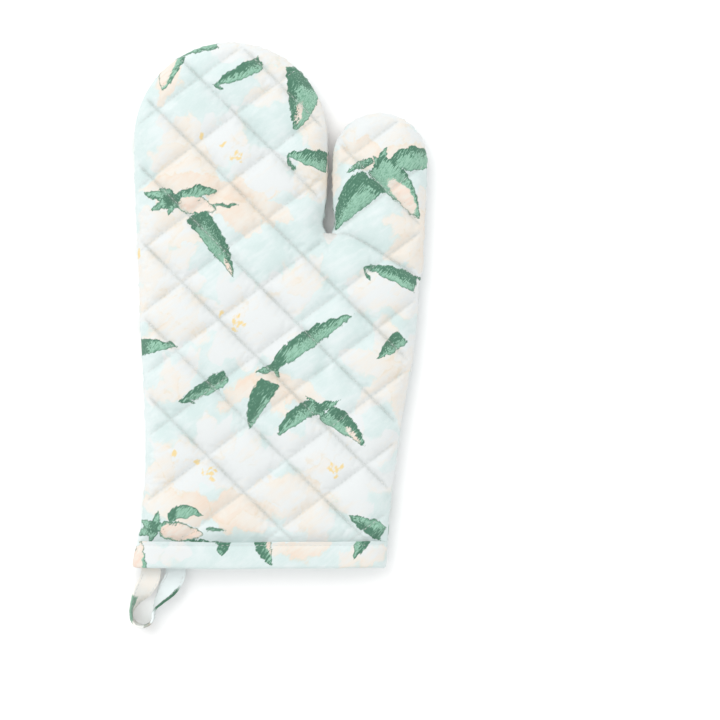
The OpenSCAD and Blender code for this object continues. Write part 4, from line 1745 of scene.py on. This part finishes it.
@dataclass(frozen=True)
class PrintedCotton:
    """Cotton printed with lilies on aqua."""

    ground: Colour = seen_as(226, 239, 238)
    ground_deep: Colour = seen_as(215, 232, 230)
    ground_pale: Colour = seen_as(235, 243, 243)
    white: Colour = seen_as(235, 239, 239)
    cream: Colour = seen_as(241, 235, 225)
    peach: Colour = seen_as(242, 223, 205)
    tan: Colour = seen_as(232, 214, 180)
    light_green: Colour = seen_as(160, 205, 182)
    mid_green: Colour = seen_as(118, 168, 143)
    dark_green: Colour = seen_as(80, 128, 105)
    pink: Colour = seen_as(243, 220, 204)
    yellow: Colour = seen_as(247, 216, 138)
    # The colour of the painted shade along the quilting lines.
    shadow: Colour = seen_as(150, 160, 152)

    def material(self) -> bpy.types.Material:
        """Builds the material.

        Returns:
            The material, which reads the print's fields and the painted shade along the quilting lines from
            the mesh.
        """
        g = Graph("printed_cotton")
        x, y, _ = g.axes()
        grain = g.noise(0.7, 3.0)
        brush = g.noise(0.6, 2.0, 7.0, 52.0)
        wash = g.noise(15.0, 3.0)
        streak = g.noise(3.2, 4.0, 5.0, 35.0)
        pale_edge = wash * 9.0 + brush * 4.0 + grain * 1.2
        petal, warm = g.value("petal") + pale_edge + 0.4, g.value("warm")
        edge = brush * 2.0 + grain * 1.3
        leaf, dark, pale = g.value("leaf") + edge, g.value("dark"), g.value("pale") + edge
        pollen = g.value("pollen") + brush * 1.8 + grain
        deeper = (wash * 2.6 + grain * 0.9 + brush * 0.7 + 0.45).over(0.5, 0.9)
        ground = g.mix(deeper, self.ground, self.ground_deep)
        ground = g.mix((streak * 2.4 - wash * 1.6 + 0.3).over(0.6, 0.8) * 0.8, ground, self.ground_pale)
        tone = warm + streak * 1.1 + wash * 0.9 + brush * 0.35
        petals = g.mix(tone.over(0.35, 0.5), self.white, self.cream)
        petals = g.mix(tone.over(0.95, 0.6), petals, self.peach)
        line = g.value("rim") + brush * 1.6 + grain
        rim = (1.0 - line.over(0.55, 0.7)) * (streak * 2.0 + wash * 1.5 + warm * 0.5 + 0.35).over(0.55, 0.5)
        petals = g.mix(rim * 0.3, petals, self.tan)
        soft = (wash + streak * 0.7 + 0.5).over(0.5, 0.5) * 2.6
        shown = petal.over(0.3, 0.5).lower(1.0 - (soft - petal * 0.8).over(0.5, 1.4) * 0.85)
        colour = g.mix(shown, ground, petals)
        greens = g.mix((brush * 2.2 + grain * 1.4 + 0.42).over(0.5, 0.5), self.light_green, self.mid_green)
        outline = 1.0 - leaf.over(0.62, 0.5)
        deep = (dark * 0.42 + brush * 6.0 + grain * 1.6).over(0.0, 0.6).higher(outline * 0.85)
        deep = deep * (1.0 - (brush * -4.2 + grain * 2.4).over(0.62, 0.4) * 0.8)
        inside_leaf = g.mix((streak * 2.0 + 0.5).over(0.5, 0.6), self.cream, self.pink)
        greens = g.mix(pale.over(0.0, 0.5), greens, inside_leaf)
        greens = g.mix(deep, greens, self.dark_green)
        colour = g.mix(leaf.over(0.0, 0.35), colour, greens)
        colour = g.mix(pollen.over(0.0, 0.5) * 0.8, colour, self.yellow)
        # Painted shade: the colour is darkened toward the shadow colour along the quilting lines.
        colour = g.mix(g.value("crease") * (wash * 0.8 + grain * 0.9 + 0.3), colour, self.shadow)
        warp = (x * (2000 * math.pi / 0.62)).sine() * 0.5
        weft = (y * (2000 * math.pi / 0.62)).sine() * 0.5
        weave = warp * weft + grain * 1.1 + brush * 0.4
        g.finish(colour, 0.85, 0.2, weave, 0.12)
        return g.material


@dataclass(frozen=True)
class PlainCloth:
    """An unprinted cloth, fluff or thread: two near colours, clouded, with a ribbed or felted relief."""

    name: str
    colour: Colour
    shade: Colour
    rib: float = 0.0
    cloud: float = 6.0
    depth: float = 0.12

    def material(self) -> bpy.types.Material:
        """Builds the material.

        Returns:
            The material.
        """
        g = Graph(self.name)
        x, y, _ = g.axes()
        fuzz = g.noise(self.cloud, 4.0)
        fine = g.noise(0.7, 3.0)
        relief = fine + fuzz * 0.5
        if self.rib:
            turn = 2000 * math.pi / self.rib
            ribs = ((x + y * 0.35) * turn).sine() * ((y - x * 0.35) * turn).sine()
            relief = relief * 0.6 + ribs * 0.6
        colour = g.mix((fuzz * 1.6 + fine * 0.6 + 0.5).over(0.5, 1.0), self.colour, self.shade)
        g.finish(colour, 0.9, 0.15, relief, self.depth)
        return g.material


@dataclass(frozen=True)
class LoopTape:
    """The loop's folded cotton: cream with green along its lower edge, and painted shade inside the turn."""

    cream: Colour = linear(244, 239, 231)
    aqua: Colour = linear(233, 242, 242)
    green: Colour = seen_as(120, 172, 146)
    dark: Colour = seen_as(84, 130, 106)
    # Painted shade inside the tape where it turns on edge.
    turn_shade: Colour = seen_as(150, 130, 95)

    def material(self) -> bpy.types.Material:
        """Builds the material.

        Returns:
            The material, which reads the place along and across the tape from the mesh.
        """
        g = Graph("loop_tape")
        grain, wash = g.noise(0.8, 3.0), g.noise(7.0, 3.0)
        along, across = g.value("along"), g.value("across")
        base = g.mix(along.over(58.0, 12.0), self.aqua, self.cream)
        base = g.mix((wash * 2.0 + grain * 0.6 + 0.3).over(0.5, 0.8) * 0.5, base, self.aqua)
        edge = (across + wash * 3.0 + grain * 1.2).over(4.4, 0.5)
        edge = edge * along.over(24.0, 4.0) * (1.0 - along.over(44.0, 4.0))
        patch = (along + wash * 10.0 + grain * 3.0).over(66.0, 2.0)
        patch = patch * (1.0 - (along + wash * 8.0).over(82.0, 2.0))
        patch = patch * (across + wash * 8.0).over(1.0, 1.0)
        # Painted shade: brown to dark green over the inside of the turn, where the tape stands on edge.
        turn = (along + wash * 5.0).over(52.0, 1.5) * (1.0 - (along + wash * 5.0).over(57.5, 1.5))
        colour = g.mix(edge, base, self.dark)
        colour = g.mix(patch * 0.9, colour, self.green)
        colour = g.mix(turn * 0.65, colour, g.mix((wash * 3.0 + 0.5).over(0.5, 0.4), self.turn_shade, self.dark))
        weave = (along * (2 * math.pi / 0.7)).sine() * (across * (2 * math.pi / 0.7)).sine() + grain
        g.finish(colour, 0.85, 0.15, weave, 0.1)
        return g.material


# ---------------------------------------------------------------- the room


@dataclass
class Studio:
    """A white floor under soft light, seen from straight above."""

    bench: Bench
    middle: Point = (81.3, 131.0)
    wide: float = 453.6
    camera_height: float = 1.61
    floor_height: float = -0.7

    def floor(self) -> bpy.types.Object:
        """Lays the floor.

        Returns:
            The floor.
        """
        bpy.ops.object.select_all(action="DESELECT")
        bpy.ops.mesh.primitive_plane_add(size=6.0, location=(0, 0, self.floor_height * MM))
        floor = bpy.context.object
        floor.name = "floor"
        g = Graph("floor_paper")
        g.finish((0.93, 0.93, 0.93), 0.9, 0.0, None, 0.0)
        floor.data.materials.append(g.material)
        return floor

    def light(self, name: str, place: tuple[float, float, float], size: float, power: float) -> None:
        """Hangs a soft lamp that faces the mitt.

        Args:
            name: The lamp's name.
            place: Where it hangs, in metres.
            size: The length of its side, in metres.
            power: Its power in watts.
        """
        bpy.ops.object.select_all(action="DESELECT")
        bpy.ops.object.light_add(type="AREA", location=place)
        lamp = bpy.context.object
        lamp.name = name
        lamp.data.size = size
        lamp.data.energy = power
        lamp.rotation_euler = (Vector((0.03, 0.0, 0.0)) - Vector(place)).to_track_quat("-Z", "Y").to_euler()

    def build(self) -> None:
        """Sets the floor, the lamp, the sky and the camera."""
        self.floor()
        self.light("window", (-0.9, 1.1, 1.9), 1.7, 21.0)
        world = bpy.data.worlds.new("studio")
        bpy.context.scene.world = world
        world.use_nodes = True
        sky = world.node_tree.nodes["Background"]
        sky.inputs[0].default_value = (1.0, 1.0, 1.0, 1.0)
        sky.inputs[1].default_value = 1.06
        bpy.ops.object.camera_add(location=(0, 0, 0))
        camera = bpy.context.object
        camera.name = "overhead"
        x, y, _ = self.bench.place(self.middle[0], self.middle[1], 0)
        camera.location = (x, y, self.camera_height)
        camera.rotation_euler = (0, 0, 0)
        camera.data.sensor_width = 36.0
        camera.data.lens = 36.0 * (self.camera_height - 0.012) / (self.wide * MM)
        bpy.context.scene.camera = camera
        bpy.context.scene.view_settings.view_transform = "Standard"
        log.info("studio")


# ---------------------------------------------------------------- the mitt


def build_mitt(bench: Bench) -> None:
    """Builds every piece of the mitt, from the plies out.

    Args:
        bench: Where the pieces are placed.
    """
    shape = Shape()
    cotton = PrintedCotton().material()
    thread = PlainCloth("sewing_thread", seen_as(236, 238, 236), seen_as(214, 220, 218),
                        rib=0.5, cloud=2.0, depth=0.05).material()
    fluff = PlainCloth("wadding", seen_as(246, 246, 243), seen_as(232, 232, 228),
                       rib=0.0, cloud=5.0, depth=0.5).material()
    white = PlainCloth("lining_cotton", seen_as(240, 240, 236), seen_as(226, 227, 224),
                       rib=0.6, cloud=12.0, depth=0.08).material()
    overlock = PlainCloth("overlock_thread", seen_as(238, 238, 234), seen_as(215, 215, 210),
                          rib=1.4, cloud=3.0, depth=0.3).material()
    tape = LoopTape().material()
    needle = Needle(bench)
    fine = Plan.lay_out(shape, 1.9, (0.0, 0.12, 0.45, 1.1, 2.2, 3.6), 0.0, True)
    log.info("cutting plan: %d points", len(fine.points))
    inner = {}
    for word, bottom in (("wadding", 4.5), ("lining", 5.15)):
        press = shape.side_press * bottom + 0.2
        inner[word] = Plan.lay_out(shape, 4.5, (0.0, 0.8, 2.0), press, word == "wadding")
    for face in Face:
        turned = -1.0 if face is Face.BACK else 1.0
        shift = (42.0, -14.0) if face is Face.BACK else (0.0, 0.0)
        panels = OuterPanels(bench, shape, face, fine, turned, shift)
        _, cloth = panels.build(cotton)
        Quilting(bench, shape, face, needle).build(cloth, thread)
        InnerPly(bench, shape, face, inner["wadding"], "wadding", 1.0, 4.5, "wadding", 1.0).build(fluff)
        InnerPly(bench, shape, face, inner["lining"], "lining", 4.65, 5.15, "lining_cotton", 0.3).build(white)
    SeamAllowance(bench, shape).build(overlock)
    binding = Cuff(bench, shape, needle).build(cotton, thread)
    loop = HangingLoop(bench, shape, needle).build(tape, thread)


def main() -> None:
    """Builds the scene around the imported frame."""
    logging.basicConfig(level=logging.INFO, format="%(name)s: %(message)s")
    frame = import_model()
    bench = Bench.from_frame()
    Studio(bench).build()
    build_mitt(bench)
    bpy.context.view_layer.update()


if __name__ == "__main__":
    main()
